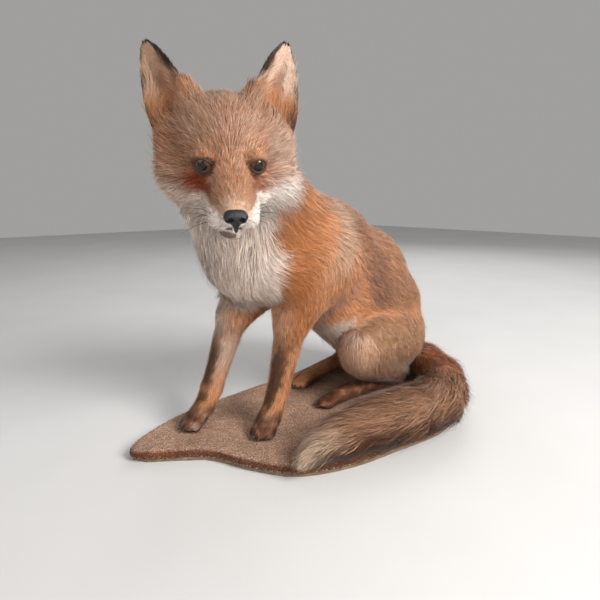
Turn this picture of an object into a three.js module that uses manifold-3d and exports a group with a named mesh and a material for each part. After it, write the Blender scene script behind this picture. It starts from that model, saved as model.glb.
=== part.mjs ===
// A mounted red fox sitting on a sand-covered board, life size, in millimetres.
// +Z is up, the fox faces -Y and its left side is +X. The origin is on the board's
// underside, below the middle of the body, and the sand's top is the plane the fox sits on.
// Every flesh solid is drawn out to the tips of the coat.

import * as THREE from 'three';
import { mergeVertices } from 'three/addons/utils/BufferGeometryUtils.js';
import Module from 'manifold-3d';

const wasm = await Module();
wasm.setup();

const radians = THREE.MathUtils.degToRad;

// ---------------------------------------------------------------- sizes
const GAP = 0.3; // space left between neighbouring solids
const BOARD_TOP = 5;
const SAND_TOP = 17;
const REST_PLANE = SAND_TOP + GAP; // where paws, rump and tail rest
const EYE_RADIUS = 11.5;
const EYE_AHEAD = 5; // the eyes' place on the head's own axes
const EYE_SPREAD = 26.5;
const EYE_ABOVE = 3.5;
const EYE_TURN = radians(14); // how far each eye faces outwards
const LEFT = 1;
const RIGHT = -1;

const X = new THREE.Vector3(1, 0, 0);
const Z = new THREE.Vector3(0, 0, 1);
const vec = (x, y, z) => new THREE.Vector3(x, y, z);

// ---------------------------------------------------------------- the head's own axes
// Its origin lies midway between the eyes; forward runs to the nose and up to the crown.
const HEAD_TURN = radians(61.6); // towards the fox's left
const HEAD_DIP = radians(24);
const BETWEEN_EYES = vec(53, -170, 356);
const forward = vec(
  Math.sin(HEAD_TURN) * Math.cos(HEAD_DIP),
  -Math.cos(HEAD_TURN) * Math.cos(HEAD_DIP),
  -Math.sin(HEAD_DIP),
);
const up = vec(
  Math.sin(HEAD_TURN) * Math.sin(HEAD_DIP),
  -Math.cos(HEAD_TURN) * Math.sin(HEAD_DIP),
  Math.cos(HEAD_DIP),
);
const leftward = up.clone().cross(forward);

function onHead(ahead, left, above) {
  return BETWEEN_EYES.clone()
    .addScaledVector(forward, ahead)
    .addScaledVector(leftward, left)
    .addScaledVector(up, above);
}

// ---------------------------------------------------------------- soft volumes
// A mass is a rounded cone between two points; `squash` scales it along `across`.
function mass(from, to, fromRadius, toRadius, { blend = 8, squash = 1, across = X } = {}) {
  const middle = from.clone().lerp(to, 0.5);
  const reshape = (point) => {
    const offset = point.clone().sub(middle).dot(across);
    return point.clone().addScaledVector(across, offset * (1 / squash - 1));
  };
  const start = reshape(from);
  const axis = reshape(to).sub(start);
  const length = Math.max(axis.length(), 1e-6);
  axis.divideScalar(length);
  const slope = THREE.MathUtils.clamp((fromRadius - toRadius) / length, -0.95, 0.95);
  const shift = slope / Math.sqrt(1 - slope * slope);
  const distance = (point) => {
    const reach = reshape(point).sub(start);
    const along = reach.dot(axis);
    const aside = Math.sqrt(Math.max(reach.lengthSq() - along * along, 0));
    const foot = THREE.MathUtils.clamp(along - aside * shift, 0, length);
    const radius = fromRadius + ((toRadius - fromRadius) * foot) / length;
    return Math.hypot(aside, along - foot) - radius;
  };
  return { blend, distance };
}

function smoothUnion(a, b, width) {
  const share = THREE.MathUtils.clamp(0.5 + (0.5 * (b - a)) / width, 0, 1);
  return b + (a - b) * share - width * share * (1 - share);
}

// The masses run together, the hollows are scooped out of them, and nothing reaches below
// the resting plane.
function body(masses, hollows = []) {
  return (point) => {
    let total = masses[0].distance(point);
    for (const part of masses.slice(1)) {
      total = smoothUnion(total, part.distance(point), part.blend);
    }
    for (const hollow of hollows) {
      total = -smoothUnion(-total, hollow.distance(point), hollow.blend);
    }
    return Math.max(total, REST_PLANE - point.z);
  };
}

// ---------------------------------------------------------------- lofts
// The outer face of `inside` along a ray, plus `grow`.
function exitPoint(inside, origin, direction, grow) {
  const step = 2;
  let far = 0;
  while (inside(origin.clone().addScaledVector(direction, far)) < 0) far += step;
  let near = Math.max(far - step, 0);
  for (let i = 0; i < 12; i += 1) {
    const middle = (near + far) / 2;
    if (inside(origin.clone().addScaledVector(direction, middle)) < 0) near = middle;
    else far = middle;
  }
  return origin.clone().addScaledVector(direction, far + grow);
}

// Rings of points, pole to pole or flat-capped, joined into one closed geometry.
function closedRings(rings, startPole, endPole) {
  const sides = rings[0].length;
  const points = [...rings.flat(), startPole, endPole];
  const first = rings.length * sides;
  const faces = [];
  for (let side = 0; side < sides; side += 1) {
    const next = (side + 1) % sides;
    faces.push(first, next, side);
    for (let ring = 0; ring + 1 < rings.length; ring += 1) {
      const a = ring * sides + side;
      const b = ring * sides + next;
      faces.push(a, b, b + sides, a, b + sides, a + sides);
    }
    const last = (rings.length - 1) * sides;
    faces.push(first + 1, last + side, last + next);
  }
  const geometry = new THREE.BufferGeometry();
  const positions = points.flatMap((point) => point.toArray());
  geometry.setAttribute('position', new THREE.Float32BufferAttribute(positions, 3));
  geometry.setIndex(faces);
  return geometry;
}

const meanOf = (points) =>
  points.reduce((sum, point) => sum.add(point), vec(0, 0, 0)).divideScalar(points.length);

// Wraps the volume `inside` with rings cast outwards from the stations of a spine. A station
// is a centre and the direction the ring faces; a dome at an end adds rings that lean over.
const DOME_LEANS = [62, 32].map(radians);

function wrap(inside, stations, { sides, reference = X, domes = [true, true], grow = 0 }) {
  const frames = stations.map(({ centre, facing }) => {
    const along = facing.clone().normalize();
    const zero = reference.clone().addScaledVector(along, -reference.dot(along)).normalize();
    return { centre, along, zero, quarter: along.clone().cross(zero) };
  });
  const ring = ({ centre, along, zero, quarter }, lean) =>
    Array.from({ length: sides }, (_, side) => {
      const turn = (2 * Math.PI * side) / sides;
      const direction = zero.clone().multiplyScalar(Math.cos(turn) * Math.cos(lean))
        .addScaledVector(quarter, Math.sin(turn) * Math.cos(lean))
        .addScaledVector(along, Math.sin(lean));
      return exitPoint(inside, centre, direction, grow);
    });
  const first = frames[0];
  const last = frames[frames.length - 1];
  const rings = frames.map((frame) => ring(frame, 0));
  const back = first.along.clone().negate();
  let startPole = meanOf(rings[0]);
  let endPole = meanOf(rings[rings.length - 1]);
  if (domes[0]) {
    startPole = exitPoint(inside, first.centre, back, grow);
    rings.unshift(...DOME_LEANS.map((lean) => ring(first, -lean)));
  }
  if (domes[1]) {
    endPole = exitPoint(inside, last.centre, last.along, grow);
    rings.push(...[...DOME_LEANS].reverse().map((lean) => ring(last, lean)));
  }
  return closedRings(rings, startPole, endPole);
}

// Stations through a list of centres, each facing along the line through its neighbours.
function stationsAlong(centres) {
  return centres.map((centre, i) => {
    const before = centres[Math.max(i - 1, 0)];
    const after = centres[Math.min(i + 1, centres.length - 1)];
    return { centre, facing: after.clone().sub(before) };
  });
}

// Evenly spaced centres on a smooth curve through the given points.
function centresThrough(points, count) {
  return new THREE.CatmullRomCurve3(points, false, 'centripetal').getSpacedPoints(count - 1);
}

// Splits a run of stations at the given indexes, leaving the gap between the lengths.
function cutStations(stations, cuts) {
  const lengths = [];
  let from = 0;
  for (const to of [...cuts, stations.length - 1]) {
    const piece = stations.slice(from, to + 1).map((station) => ({ ...station }));
    const nudge = (station, side) => {
      const along = station.facing.clone().normalize();
      return { ...station, centre: station.centre.clone().addScaledVector(along, side * GAP / 2) };
    };
    if (from > 0) piece[0] = nudge(piece[0], 1);
    if (to < stations.length - 1) piece[piece.length - 1] = nudge(piece[piece.length - 1], -1);
    lengths.push(piece);
    from = to;
  }
  return lengths;
}

// ---------------------------------------------------------------- solids
function solidOf(geometry) {
  const bare = geometry.clone();
  bare.deleteAttribute('normal');
  bare.deleteAttribute('uv');
  const merged = mergeVertices(bare, 1e-4);
  return new wasm.Manifold(new wasm.Mesh({
    numProp: 3,
    vertProperties: Float32Array.from(merged.attributes.position.array),
    triVerts: Uint32Array.from(merged.index.array),
  }));
}

// The largest body left after cutting, so no loose crumb stays behind.
function mainBody(solid) {
  const bodies = solid.decompose();
  return bodies.reduce((a, b) => (b.volume() > a.volume() ? b : a));
}

function geometryOf(solid) {
  const { vertProperties, triVerts } = mainBody(solid).getMesh();
  const geometry = new THREE.BufferGeometry();
  geometry.setAttribute('position', new THREE.Float32BufferAttribute(vertProperties, 3));
  geometry.setIndex(Array.from(triVerts));
  geometry.computeVertexNormals();
  return geometry;
}

const model = new THREE.Group();
model.name = 'taxidermy_fox';

const COLOURS = {
  board: 0x6b5138, sand: 0xa48d72, orange: 0xb9743f, tan: 0xb98d62, cream: 0xd9c9b3,
  brown: 0x5b3a26, nose: 0x1c1b1d, eye: 0x2a170c,
};

function addNode(name, solid, colour, roughness = 0.9) {
  const material = new THREE.MeshStandardMaterial({ color: COLOURS[colour], roughness });
  material.name = `${name}_${colour}`;
  const mesh = new THREE.Mesh(geometryOf(solid), material);
  mesh.name = name;
  model.add(mesh);
}

// ---------------------------------------------------------------- trunk and neck
const trunkMasses = [
  mass(vec(0, 178, 78), vec(0, 166, 140), 60, 68, { squash: 0.9 }),
  mass(vec(0, 166, 140), vec(0, 113, 199), 68, 72, { blend: 30, squash: 0.88 }),
  mass(vec(0, 113, 199), vec(0, 18, 242), 72, 76, { blend: 30, squash: 0.86 }),
  mass(vec(0, 18, 242), vec(0, -58, 245), 76, 72, { blend: 30, squash: 0.92 }),
  mass(vec(0, 10, 200), vec(0, 110, 138), 58, 56, { blend: 24, squash: 0.95 }),
  mass(vec(12, 24, 160), vec(24, 84, 94), 42, 36, { blend: 20 }),
  mass(vec(0, -36, 273), vec(2, -112, 350), 62, 58, { blend: 26, squash: 0.95 }),
  mass(vec(-20, -108, 242), vec(6, -151, 318), 54, 50, { blend: 26 }),
];
const trunkVolume = body(trunkMasses);

// Each row is a centre in the plane of symmetry and how far the ring faces up from -Y.
const trunkRows = [
  [0, 166, 88, 50], [0, 152, 112, 48], [0, 137, 134, 46], [0, 119, 154, 44],
  [0, 99, 172, 41], [0, 77, 189, 39], [0, 53, 206, 38], [0, 28, 222, 38],
  [0, 2, 238, 39], [0, -21, 252, 43], [0, -42, 266, 49], [0, -60, 279, 55],
  [1, -75, 293, 60], [2, -87, 309, 64], [3, -97, 326, 67], [5, -105, 343, 70], [7, -111, 360, 72],
];
const NECK_CUT = 12; // the row where the neck begins
const trunkStations = trunkRows.map(([x, y, z, lift]) => ({
  centre: vec(x, y, z),
  facing: vec(0, -Math.cos(radians(lift)), Math.sin(radians(lift))),
}));
const TRUNK_SIDES = 20;

const [trunkRun, neckRun] = cutStations(trunkStations, [NECK_CUT]);
const trunkStyle = { sides: TRUNK_SIDES, domes: [true, false] };
const neckStyle = { sides: TRUNK_SIDES, domes: [false, true] };
const trunk = solidOf(wrap(trunkVolume, trunkRun, trunkStyle));
const trunkAndNeckGrown = solidOf(
  wrap(trunkVolume, trunkStations, { sides: TRUNK_SIDES, grow: GAP }),
);
const neck = solidOf(wrap(trunkVolume, neckRun, neckStyle));

// ---------------------------------------------------------------- head
const acrossHead = { across: leftward };
const headMasses = [
  mass(onHead(-54, 0, 8), onHead(-30, 0, 14), 56, 46, { squash: 1.1, ...acrossHead }),
  mass(onHead(-30, 0, 12), onHead(2, 0, -2), 44, 24, { blend: 18, squash: 1.12, ...acrossHead }),
  mass(onHead(0, 0, -14), onHead(34, 0, -23), 26, 19, { blend: 14, squash: 1.05, ...acrossHead }),
  mass(onHead(34, 0, -23), onHead(61, 0, -30), 19, 13, { blend: 10, squash: 1.1, ...acrossHead }),
  mass(onHead(-10, 0, -42), onHead(46, -3, -53), 22, 13, { blend: 10, squash: 1.2, ...acrossHead }),
  mass(onHead(-34, 0, -38), onHead(0, 0, -44), 36, 20, { blend: 16 }),
  mass(onHead(-52, -38, -34), onHead(-42, -28, -62), 38, 32, { blend: 16 }),
];
// The skull climbs the inner edge of each ear.
const EAR_ROOTS = {
  [LEFT]: { from: [-40, 27, 36], to: [-42, 32, 75] },
  [RIGHT]: { from: [-37, -31, 36], to: [-38, -44, 73] },
};
for (const side of [LEFT, RIGHT]) {
  headMasses.push(
    mass(onHead(-52, side * 45, 16), onHead(-40, side * 43, -18), 35, 41, { blend: 16 }),
    mass(onHead(-36, side * 37, -26), onHead(-4, side * 23, -32), 38, 23, { blend: 16 }),
    mass(onHead(-22, side * 30, 11), onHead(-9, side * 26, 12), 21, 14, { blend: 12 }),
    mass(onHead(26, side * 17, -36), onHead(48, side * 15, -40), 15, 13, { blend: 8 }),
    mass(onHead(...EAR_ROOTS[side].from), onHead(...EAR_ROOTS[side].to), 24, 8, { blend: 14 }),
  );
}

// The ball of each eye sits in a hollow that opens forwards and a little outwards.
const eyeCentre = (side) => onHead(EYE_AHEAD, side * EYE_SPREAD, EYE_ABOVE);
const gaze = (side) => forward.clone().multiplyScalar(Math.cos(EYE_TURN))
  .addScaledVector(leftward, side * Math.sin(EYE_TURN));
const eyeHollows = [LEFT, RIGHT].map((side) => {
  const bed = eyeCentre(side).addScaledVector(gaze(side), 1.5 * EYE_RADIUS);
  const rim = bed.clone().addScaledVector(leftward, side * 3);
  return mass(bed, rim, 15, 15, { blend: 5 });
});
const headVolume = body(headMasses, eyeHollows);

// Each row is how far ahead of the eyes the ring lies and how high its centre is.
const headRows = [
  [-62, 2], [-48, 2], [-36, 0], [-25, -3], [-15, -7], [-6, -11], [2, -15], [10, -19],
  [19, -23], [29, -27], [39, -31], [48, -35], [54, -37],
];
const headStations = headRows.map(([ahead, above]) => ({
  centre: onHead(ahead, 0, above), facing: forward,
}));
const headStyle = { sides: 24, reference: leftward };
const headWhole = solidOf(wrap(headVolume, headStations, headStyle));
const headGrown = solidOf(wrap(headVolume, headStations, { ...headStyle, grow: GAP }));

// A ball with its poles on the given axis, squeezed to three half-widths.
function ball(centre, ahead, across, above, segments) {
  const geometry = new THREE.SphereGeometry(1, segments, Math.round(segments * 0.6));
  const frame = new THREE.Matrix4().makeBasis(
    forward.clone().multiplyScalar(ahead),
    leftward.clone().multiplyScalar(across),
    up.clone().multiplyScalar(above),
  ).setPosition(centre);
  return solidOf(geometry.applyMatrix4(frame));
}

const EYE_SEGMENTS = 12;
const eyeBall = (side, radius) =>
  ball(eyeCentre(side), radius, radius, radius, EYE_SEGMENTS);

// The nose pad and its two nostrils.
const NOSE_CENTRE = onHead(66, 0, -27.5);
const NOSE_HALF_WIDTHS = [9, 12, 8.5]; // ahead, across, above
const NOSE_SEGMENTS = 14;
const NOSTRIL_HALF_WIDTHS = [4.5, 3, 2.2];
const NOSTRIL_SEGMENTS = 7;
const noseBlock = (grow) =>
  ball(NOSE_CENTRE, ...NOSE_HALF_WIDTHS.map((half) => half + grow), NOSE_SEGMENTS);
let nose = noseBlock(0);
for (const side of [LEFT, RIGHT]) {
  nose = nose.subtract(ball(onHead(76, side * 6, -28), ...NOSTRIL_HALF_WIDTHS, NOSTRIL_SEGMENTS));
}

// The mouth slit: a thin sheet below the upper lip, from the lips back to its corners.
function mouthCutter(thickness) {
  const lipLine = [[80, -46], [60, -48], [46, -52], [32, -52], [20, -47], [12, -40]];
  const outline = new THREE.Shape();
  lipLine.forEach(([ahead, above], i) => {
    const move = i === 0 ? 'moveTo' : 'lineTo';
    outline[move](ahead, above + thickness / 2);
  });
  outline.lineTo(4, -90);
  outline.lineTo(80, -90);
  const width = 90;
  const slab = new THREE.ExtrudeGeometry(outline, { depth: width, bevelEnabled: false });
  slab.translate(0, 0, -width / 2);
  const frame = new THREE.Matrix4().makeBasis(forward, up, forward.clone().cross(up))
    .setPosition(BETWEEN_EYES);
  return solidOf(slab.applyMatrix4(frame));
}

let head = headWhole.subtract(noseBlock(GAP));
for (const side of [LEFT, RIGHT]) head = head.subtract(eyeBall(side, EYE_RADIUS + GAP));
const lowerJaw = headWhole.intersect(mouthCutter(-GAP));
head = head.subtract(mouthCutter(GAP));

// ---------------------------------------------------------------- ears
// A cupped blade: narrow crescent sections that shrink to a rounded tip.
function ear(base, tip, turnOut, side) {
  const HALF_WIDTH = 31;
  const CURL = 0.5;
  const axis = tip.clone().sub(base);
  const height = axis.length();
  axis.normalize();
  const across = leftward.clone().multiplyScalar(side * Math.cos(turnOut))
    .addScaledVector(forward, -Math.sin(turnOut));
  across.addScaledVector(axis, -across.dot(axis)).normalize();
  const face = across.clone().cross(axis).multiplyScalar(side);
  const rings = [];
  for (const share of [-0.12, 0.05, 0.2, 0.35, 0.5, 0.64, 0.77, 0.88, 0.95, 0.985]) {
    const t = Math.max(share, 0);
    const half = HALF_WIDTH * (1 - t ** 1.9) ** 0.72;
    const thick = 4.2 * (1 - 0.45 * t);
    const middle = base.clone().addScaledVector(axis, share * height);
    const point = (b, front) => {
      const edge = Math.sqrt(1 - (b * b) / (half * half * 1.03));
      const bow = CURL * HALF_WIDTH * (b / HALF_WIDTH) ** 2 * (1 - 0.4 * t);
      return middle.clone().addScaledVector(across, b)
        .addScaledVector(face, bow + front * thick * edge);
    };
    const steps = [-1, -0.75, -0.4, 0, 0.4, 0.75];
    const ring = [
      ...steps.map((b) => point(b * half, -1)),
      ...steps.map((b) => point(-b * half, 1)),
    ];
    rings.push(side === LEFT ? ring.reverse() : ring);
  }
  return solidOf(closedRings(rings, meanOf(rings[0]), meanOf(rings[rings.length - 1])));
}

const earLeft = ear(onHead(-50, 45, 36), onHead(-62, 65, 109), radians(16), LEFT);
const earRight = ear(onHead(-50, -47, 34), onHead(-62, -79, 101), radians(28), RIGHT);

// ---------------------------------------------------------------- forelegs
// A paw's toes and claws are joined to it. `heading` is the way the toes point.
function toesOf(knuckle, heading, spread, radius) {
  const sideways = Z.clone().cross(heading).normalize();
  let toes = null;
  for (const place of [-1.5, -0.5, 0.5, 1.5]) {
    const inner = Math.abs(place) < 1;
    const root = knuckle.clone().addScaledVector(sideways, place * spread * 0.7);
    const reach = inner ? 29 : 22;
    const tip = knuckle.clone().addScaledVector(sideways, place * spread)
      .addScaledVector(heading, reach).setZ(REST_PLANE + radius * 0.75);
    const volume = body([mass(root, tip, radius, radius * 0.92)]);
    const stations = stationsAlong([root, tip]);
    const toe = solidOf(wrap(volume, stations, { sides: 6 }));
    const claw = clawAt(tip.clone().addScaledVector(heading, radius * 0.55), heading);
    toes = toes ? toes.add(toe).add(claw) : toe.add(claw);
  }
  return toes;
}

const CLAW_LENGTH = 9;
const CLAW_RADIUS = 1.9;
const CLAW_SIDES = 5;
const CLAW_DROOP = 0.12; // how far a claw points down for each unit forwards

function clawAt(root, heading) {
  const cone = new THREE.ConeGeometry(CLAW_RADIUS, CLAW_LENGTH, CLAW_SIDES)
    .translate(0, CLAW_LENGTH / 2, 0);
  const lean = heading.clone().addScaledVector(Z, -CLAW_DROOP).normalize();
  const turn = new THREE.Quaternion().setFromUnitVectors(vec(0, 1, 0), lean);
  return solidOf(cone.applyQuaternion(turn).translate(root.x, root.y, root.z));
}

const forelegs = {
  left: {
    joints: [vec(32, -20, 232), vec(33, -66, 160), vec(35, -94, 64), vec(38, -108, 40)],
    heading: vec(0.34, -0.94, 0), radii: [54, 26, 15.5, 16],
  },
  right: {
    joints: [vec(-32, -40, 230), vec(-43, -108, 162), vec(-40, -150, 64), vec(-38, -165, 40)],
    heading: vec(0.1, -1, 0), radii: [54, 25, 15.5, 16],
  },
};

function foreleg({ joints, heading, radii }) {
  const [shoulder, elbow, wrist, knuckle] = joints;
  const volume = body([
    mass(shoulder, elbow, radii[0], radii[1]),
    mass(elbow, wrist, radii[1] - 3, radii[2], { blend: 14 }),
    mass(wrist, knuckle, radii[2], radii[3]),
  ]);
  const upper = [0, 0.25, 0.5, 0.75].map((t) => shoulder.clone().lerp(elbow, t));
  const lower = [0, 0.17, 0.34, 0.52, 0.7, 0.86].map((t) => elbow.clone().lerp(wrist, t));
  const foot = [0, 0.5, 1].map((t) => wrist.clone().lerp(knuckle, t));
  const stations = stationsAlong([...upper, ...lower, ...foot]);
  const [upperRun, lowerRun, footRun] = cutStations(stations, [upper.length, stations.length - 3]);
  const style = { sides: 12 };
  const heelToToe = toesOf(knuckle, heading.clone().normalize(), 8.2, 8);
  return {
    upper: solidOf(wrap(volume, upperRun, { ...style, domes: [true, false] }))
      .subtract(trunkAndNeckGrown),
    lower: solidOf(wrap(volume, lowerRun, { ...style, domes: [false, false] }))
      .subtract(trunkAndNeckGrown),
    paw: solidOf(wrap(volume, footRun, { ...style, domes: [false, true] })).add(heelToToe),
  };
}

// ---------------------------------------------------------------- hind legs
const hindlegs = {
  left: {
    hip: vec(38, 150, 98), knee: vec(62, 50, 100), kneeRadius: 44, shin: vec(62, 64, 76),
    hock: vec(56, 142, 36), pad: vec(42, 18, 30), heading: vec(-0.2, -1, 0),
  },
  right: {
    hip: vec(-34, 162, 98), knee: vec(-46, 138, 82), kneeRadius: 38, shin: vec(-46, 144, 68),
    hock: vec(-54, 150, 36), pad: vec(-45, 36, 30), heading: vec(0.1, -1, 0),
  },
};

function hindleg({ hip, knee, kneeRadius, shin, hock, pad, heading }) {
  const thighVolume = body([mass(hip, knee, 68, kneeRadius, { squash: 0.72 })]);
  const shankVolume = body([mass(shin, hock, 30, 19)]);
  const footVolume = body([mass(hock, pad, 16, 13)]);
  const thighStations = stationsAlong(centresThrough([hip, knee], 5));
  const style = { sides: 16 };
  const slim = { sides: 10 };
  const thigh = solidOf(wrap(thighVolume, thighStations, style));
  const thighGrown = solidOf(wrap(thighVolume, thighStations, { ...style, grow: GAP }));
  const shankStations = stationsAlong(centresThrough([shin, hock], 3));
  const shank = solidOf(wrap(shankVolume, shankStations, slim));
  const shankGrown = solidOf(wrap(shankVolume, shankStations, { ...slim, grow: GAP }));
  const footStations = stationsAlong(centresThrough([hock, pad], 5));
  const foot = solidOf(wrap(footVolume, footStations, slim))
    .add(toesOf(pad, heading.clone().normalize(), 6.6, 7.6));
  return {
    thigh: thigh.subtract(trunkAndNeckGrown),
    shank: shank.subtract(trunkAndNeckGrown).subtract(thighGrown),
    foot: foot.subtract(trunkAndNeckGrown).subtract(thighGrown).subtract(shankGrown),
    grown: thighGrown.add(shankGrown)
      .add(solidOf(wrap(footVolume, footStations, { ...slim, grow: GAP }))),
  };
}

// ---------------------------------------------------------------- tail
// Each row is a centre and the brush's radius there, from the root round to the tip.
const tailRows = [
  [14, 218, 56, 30], [68, 209, 47, 34], [119, 176, 43, 37], [152, 128, 41, 40],
  [165, 82, 40, 43], [158, 28, 40, 42], [147, -23, 39, 38], [134, -75, 34, 28],
  [128, -114, 28, 16], [133, -142, 21, 4.5],
];
const tailMasses = tailRows.slice(1).map(([x, y, z, radius], i) => {
  const [fromX, fromY, fromZ, fromRadius] = tailRows[i];
  const flat = { blend: 12, squash: 0.84, across: Z };
  return mass(vec(fromX, fromY, fromZ), vec(x, y, z), fromRadius, radius, flat);
});
const tailVolume = body(tailMasses);
const tailCentres = centresThrough(tailRows.map(([x, y, z]) => vec(x, y, z)), 19);
const tailStations = stationsAlong(tailCentres);
const tailRuns = cutStations(tailStations, [6, 12]);
const tailLengths = tailRuns.map((run, i) =>
  solidOf(wrap(tailVolume, run, { sides: 16, reference: Z, domes: [i === 0, i === 2] })));

// ---------------------------------------------------------------- base
// The board's edge as a smooth closed line, drawn in `inset` from the sand's edge.
const edgePoints = [
  [-43, -268], [24, -196], [74, -172], [122, -139], [154, -78], [170, -2], [183, 84],
  [164, 168], [108, 232], [20, 254], [-68, 234], [-108, 156], [-98, 52], [-96, -60], [-86, -190],
];
const edgeCurve = new THREE.CatmullRomCurve3(
  edgePoints.map(([x, y]) => vec(x, y, 0)), true, 'centripetal',
);

function slab(levels, segments) {
  const outline = edgeCurve.getPoints(segments).slice(0, segments);
  const rings = levels.map(([z, inset]) => outline.map((point, i) => {
    const tangent = edgeCurve.getTangent(i / segments);
    return vec(point.x - tangent.y * inset, point.y + tangent.x * inset, z);
  }));
  const middle = (z) => vec(20, 20, z);
  const bottom = levels[0][0];
  const top = levels[levels.length - 1][0];
  return solidOf(closedRings(rings, middle(bottom), middle(top)));
}

const EDGE_SEGMENTS = 48;
const board = slab([[0, 3], [BOARD_TOP, 3]], EDGE_SEGMENTS);
const sand = slab([
  [BOARD_TOP + GAP, 1], [9, 0], [13, 0.8], [15.8, 3], [SAND_TOP, 7],
], EDGE_SEGMENTS);

// ---------------------------------------------------------------- nodes
addNode('base_board', board, 'board');
addNode('base_sand', sand, 'sand');
addNode('trunk', trunk, 'orange');
addNode('neck', neck.subtract(headGrown), 'cream');
addNode('head', head, 'orange');
addNode('lower_jaw', lowerJaw, 'cream');
addNode('nose', nose, 'nose', 0.35);
addNode('eye_left', eyeBall(LEFT, EYE_RADIUS), 'eye', 0.1);
addNode('eye_right', eyeBall(RIGHT, EYE_RADIUS), 'eye', 0.1);
addNode('ear_left', earLeft.subtract(headGrown).subtract(trunkAndNeckGrown), 'brown');
addNode('ear_right', earRight.subtract(headGrown).subtract(trunkAndNeckGrown), 'brown');

for (const [sideName, leg] of Object.entries(forelegs)) {
  const { upper, lower, paw } = foreleg(leg);
  addNode(`upper_arm_${sideName}`, upper, 'orange');
  addNode(`forearm_${sideName}`, lower, 'orange');
  addNode(`forepaw_${sideName}`, paw, 'brown');
}

let hindGrown = trunkAndNeckGrown;
for (const [sideName, leg] of Object.entries(hindlegs)) {
  const { thigh, shank, foot, grown } = hindleg(leg);
  addNode(`thigh_${sideName}`, thigh, 'tan');
  addNode(`shank_${sideName}`, shank, 'tan');
  addNode(`hind_foot_${sideName}`, foot, 'brown');
  hindGrown = hindGrown.add(grown);
}

['tail_root', 'tail_middle', 'tail_tip'].forEach((name, i) => {
  addNode(name, tailLengths[i].subtract(hindGrown), i === 2 ? 'cream' : 'tan');
});

export default model;
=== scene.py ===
"""A mounted red fox on a sand-covered board: its skin, coat, eyes, nose, claws and base.

Everything is worked out in millimetres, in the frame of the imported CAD, and turned into
metres where a mesh is made. The fox faces -Y, its left side is +X, and +Z is up.
"""

from dataclasses import dataclass

import bpy
import numpy as np
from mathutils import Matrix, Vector


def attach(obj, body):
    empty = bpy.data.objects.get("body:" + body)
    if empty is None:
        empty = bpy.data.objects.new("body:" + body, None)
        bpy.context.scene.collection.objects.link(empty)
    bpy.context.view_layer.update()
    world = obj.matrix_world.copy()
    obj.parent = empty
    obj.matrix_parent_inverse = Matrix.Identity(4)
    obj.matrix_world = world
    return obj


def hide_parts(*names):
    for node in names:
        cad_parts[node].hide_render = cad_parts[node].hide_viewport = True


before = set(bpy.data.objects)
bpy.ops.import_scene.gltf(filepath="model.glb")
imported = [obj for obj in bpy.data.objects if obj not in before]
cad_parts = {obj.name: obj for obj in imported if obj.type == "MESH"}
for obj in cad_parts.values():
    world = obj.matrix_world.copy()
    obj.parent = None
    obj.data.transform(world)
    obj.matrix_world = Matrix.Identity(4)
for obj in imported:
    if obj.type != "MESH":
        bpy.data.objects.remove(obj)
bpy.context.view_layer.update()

MM = 0.001
SAND_TOP = 17.0
REST_PLANE = 17.3  # where paws, rump and tail rest
LEFT, RIGHT = 1, -1
X_AXIS = np.array([1.0, 0.0, 0.0])
Y_AXIS = np.array([0.0, 1.0, 0.0])
Z_AXIS = np.array([0.0, 0.0, 1.0])
rng = np.random.default_rng(61)


# ---------------------------------------------------------------- small helpers
def vec(*numbers):
    return np.array(numbers, float)


def unit(vectors):
    lengths = np.linalg.norm(vectors, axis=-1, keepdims=True)
    return vectors / np.maximum(lengths, 1e-9)


def dot(a, b):
    return np.sum(a * b, axis=-1)


def ramp(values, low, high):
    """0 below low, 1 above high and smooth between; low may be above high."""
    share = np.clip((values - low) / (high - low), 0.0, 1.0)
    return share * share * (3.0 - 2.0 * share)


def mix(a, b, share):
    share = np.asarray(share)[..., None]
    return a * (1.0 - share) + b * share


def grid(axes):
    """Every point of the grid that the axes span."""
    return np.stack(np.meshgrid(*axes, indexing="ij"), axis=-1)


def hashed(cells, salt):
    """A repeatable random number from 0 to 1 for each whole-number cell."""
    cells = cells.astype(np.int64)
    mixed = cells[..., 0] * 73856093 ^ cells[..., 1] * 19349663 ^ cells[..., 2] * 83492791
    mixed = (mixed ^ salt * 40503) & 0x7FFFFFFF
    mixed = ((mixed ^ (mixed >> 15)) * 0x2C1B3C6D) & 0x7FFFFFFF
    mixed = ((mixed ^ (mixed >> 12)) * 0x297A2D39) & 0x7FFFFFFF
    return ((mixed ^ (mixed >> 15)) & 0xFFFFFF) / float(0xFFFFFF)


def noise(points, size, salt=0):
    """Smooth random values from -1 to 1 that change over about `size` mm."""
    scaled = points / size
    cell = np.floor(scaled)
    share = scaled - cell
    share = share * share * (3.0 - 2.0 * share)
    total = 0.0
    for corner in np.ndindex(2, 2, 2):
        weight = np.prod(np.where(corner, share, 1.0 - share), axis=-1)
        total = total + weight * hashed(cell + corner, salt)
    return 2.0 * total - 1.0


# ---------------------------------------------------------------- the head's own axes
# Its origin lies midway between the eyes; forward runs to the nose and up to the crown.
HEAD_TURN = np.radians(61.6)
HEAD_DIP = np.radians(24.0)
BETWEEN_EYES = vec(53, -170, 356)
FORWARD = vec(
    np.sin(HEAD_TURN) * np.cos(HEAD_DIP), -np.cos(HEAD_TURN) * np.cos(HEAD_DIP), -np.sin(HEAD_DIP)
)
UP = vec(
    np.sin(HEAD_TURN) * np.sin(HEAD_DIP), -np.cos(HEAD_TURN) * np.sin(HEAD_DIP), np.cos(HEAD_DIP)
)
LEFTWARD = np.cross(UP, FORWARD)
HEAD_AXES = np.stack([FORWARD, LEFTWARD, UP])
EYE_RADIUS = 11.5
EYE_AHEAD = 5.0
EYE_SPREAD = 26.5
EYE_ABOVE = 3.5
EYE_TURN = np.radians(14.0)
NOSE_CLEARANCE = (66, 0, -27.5), (9.5, 12.5, 9)  # the ellipsoid hairs keep out of


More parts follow.
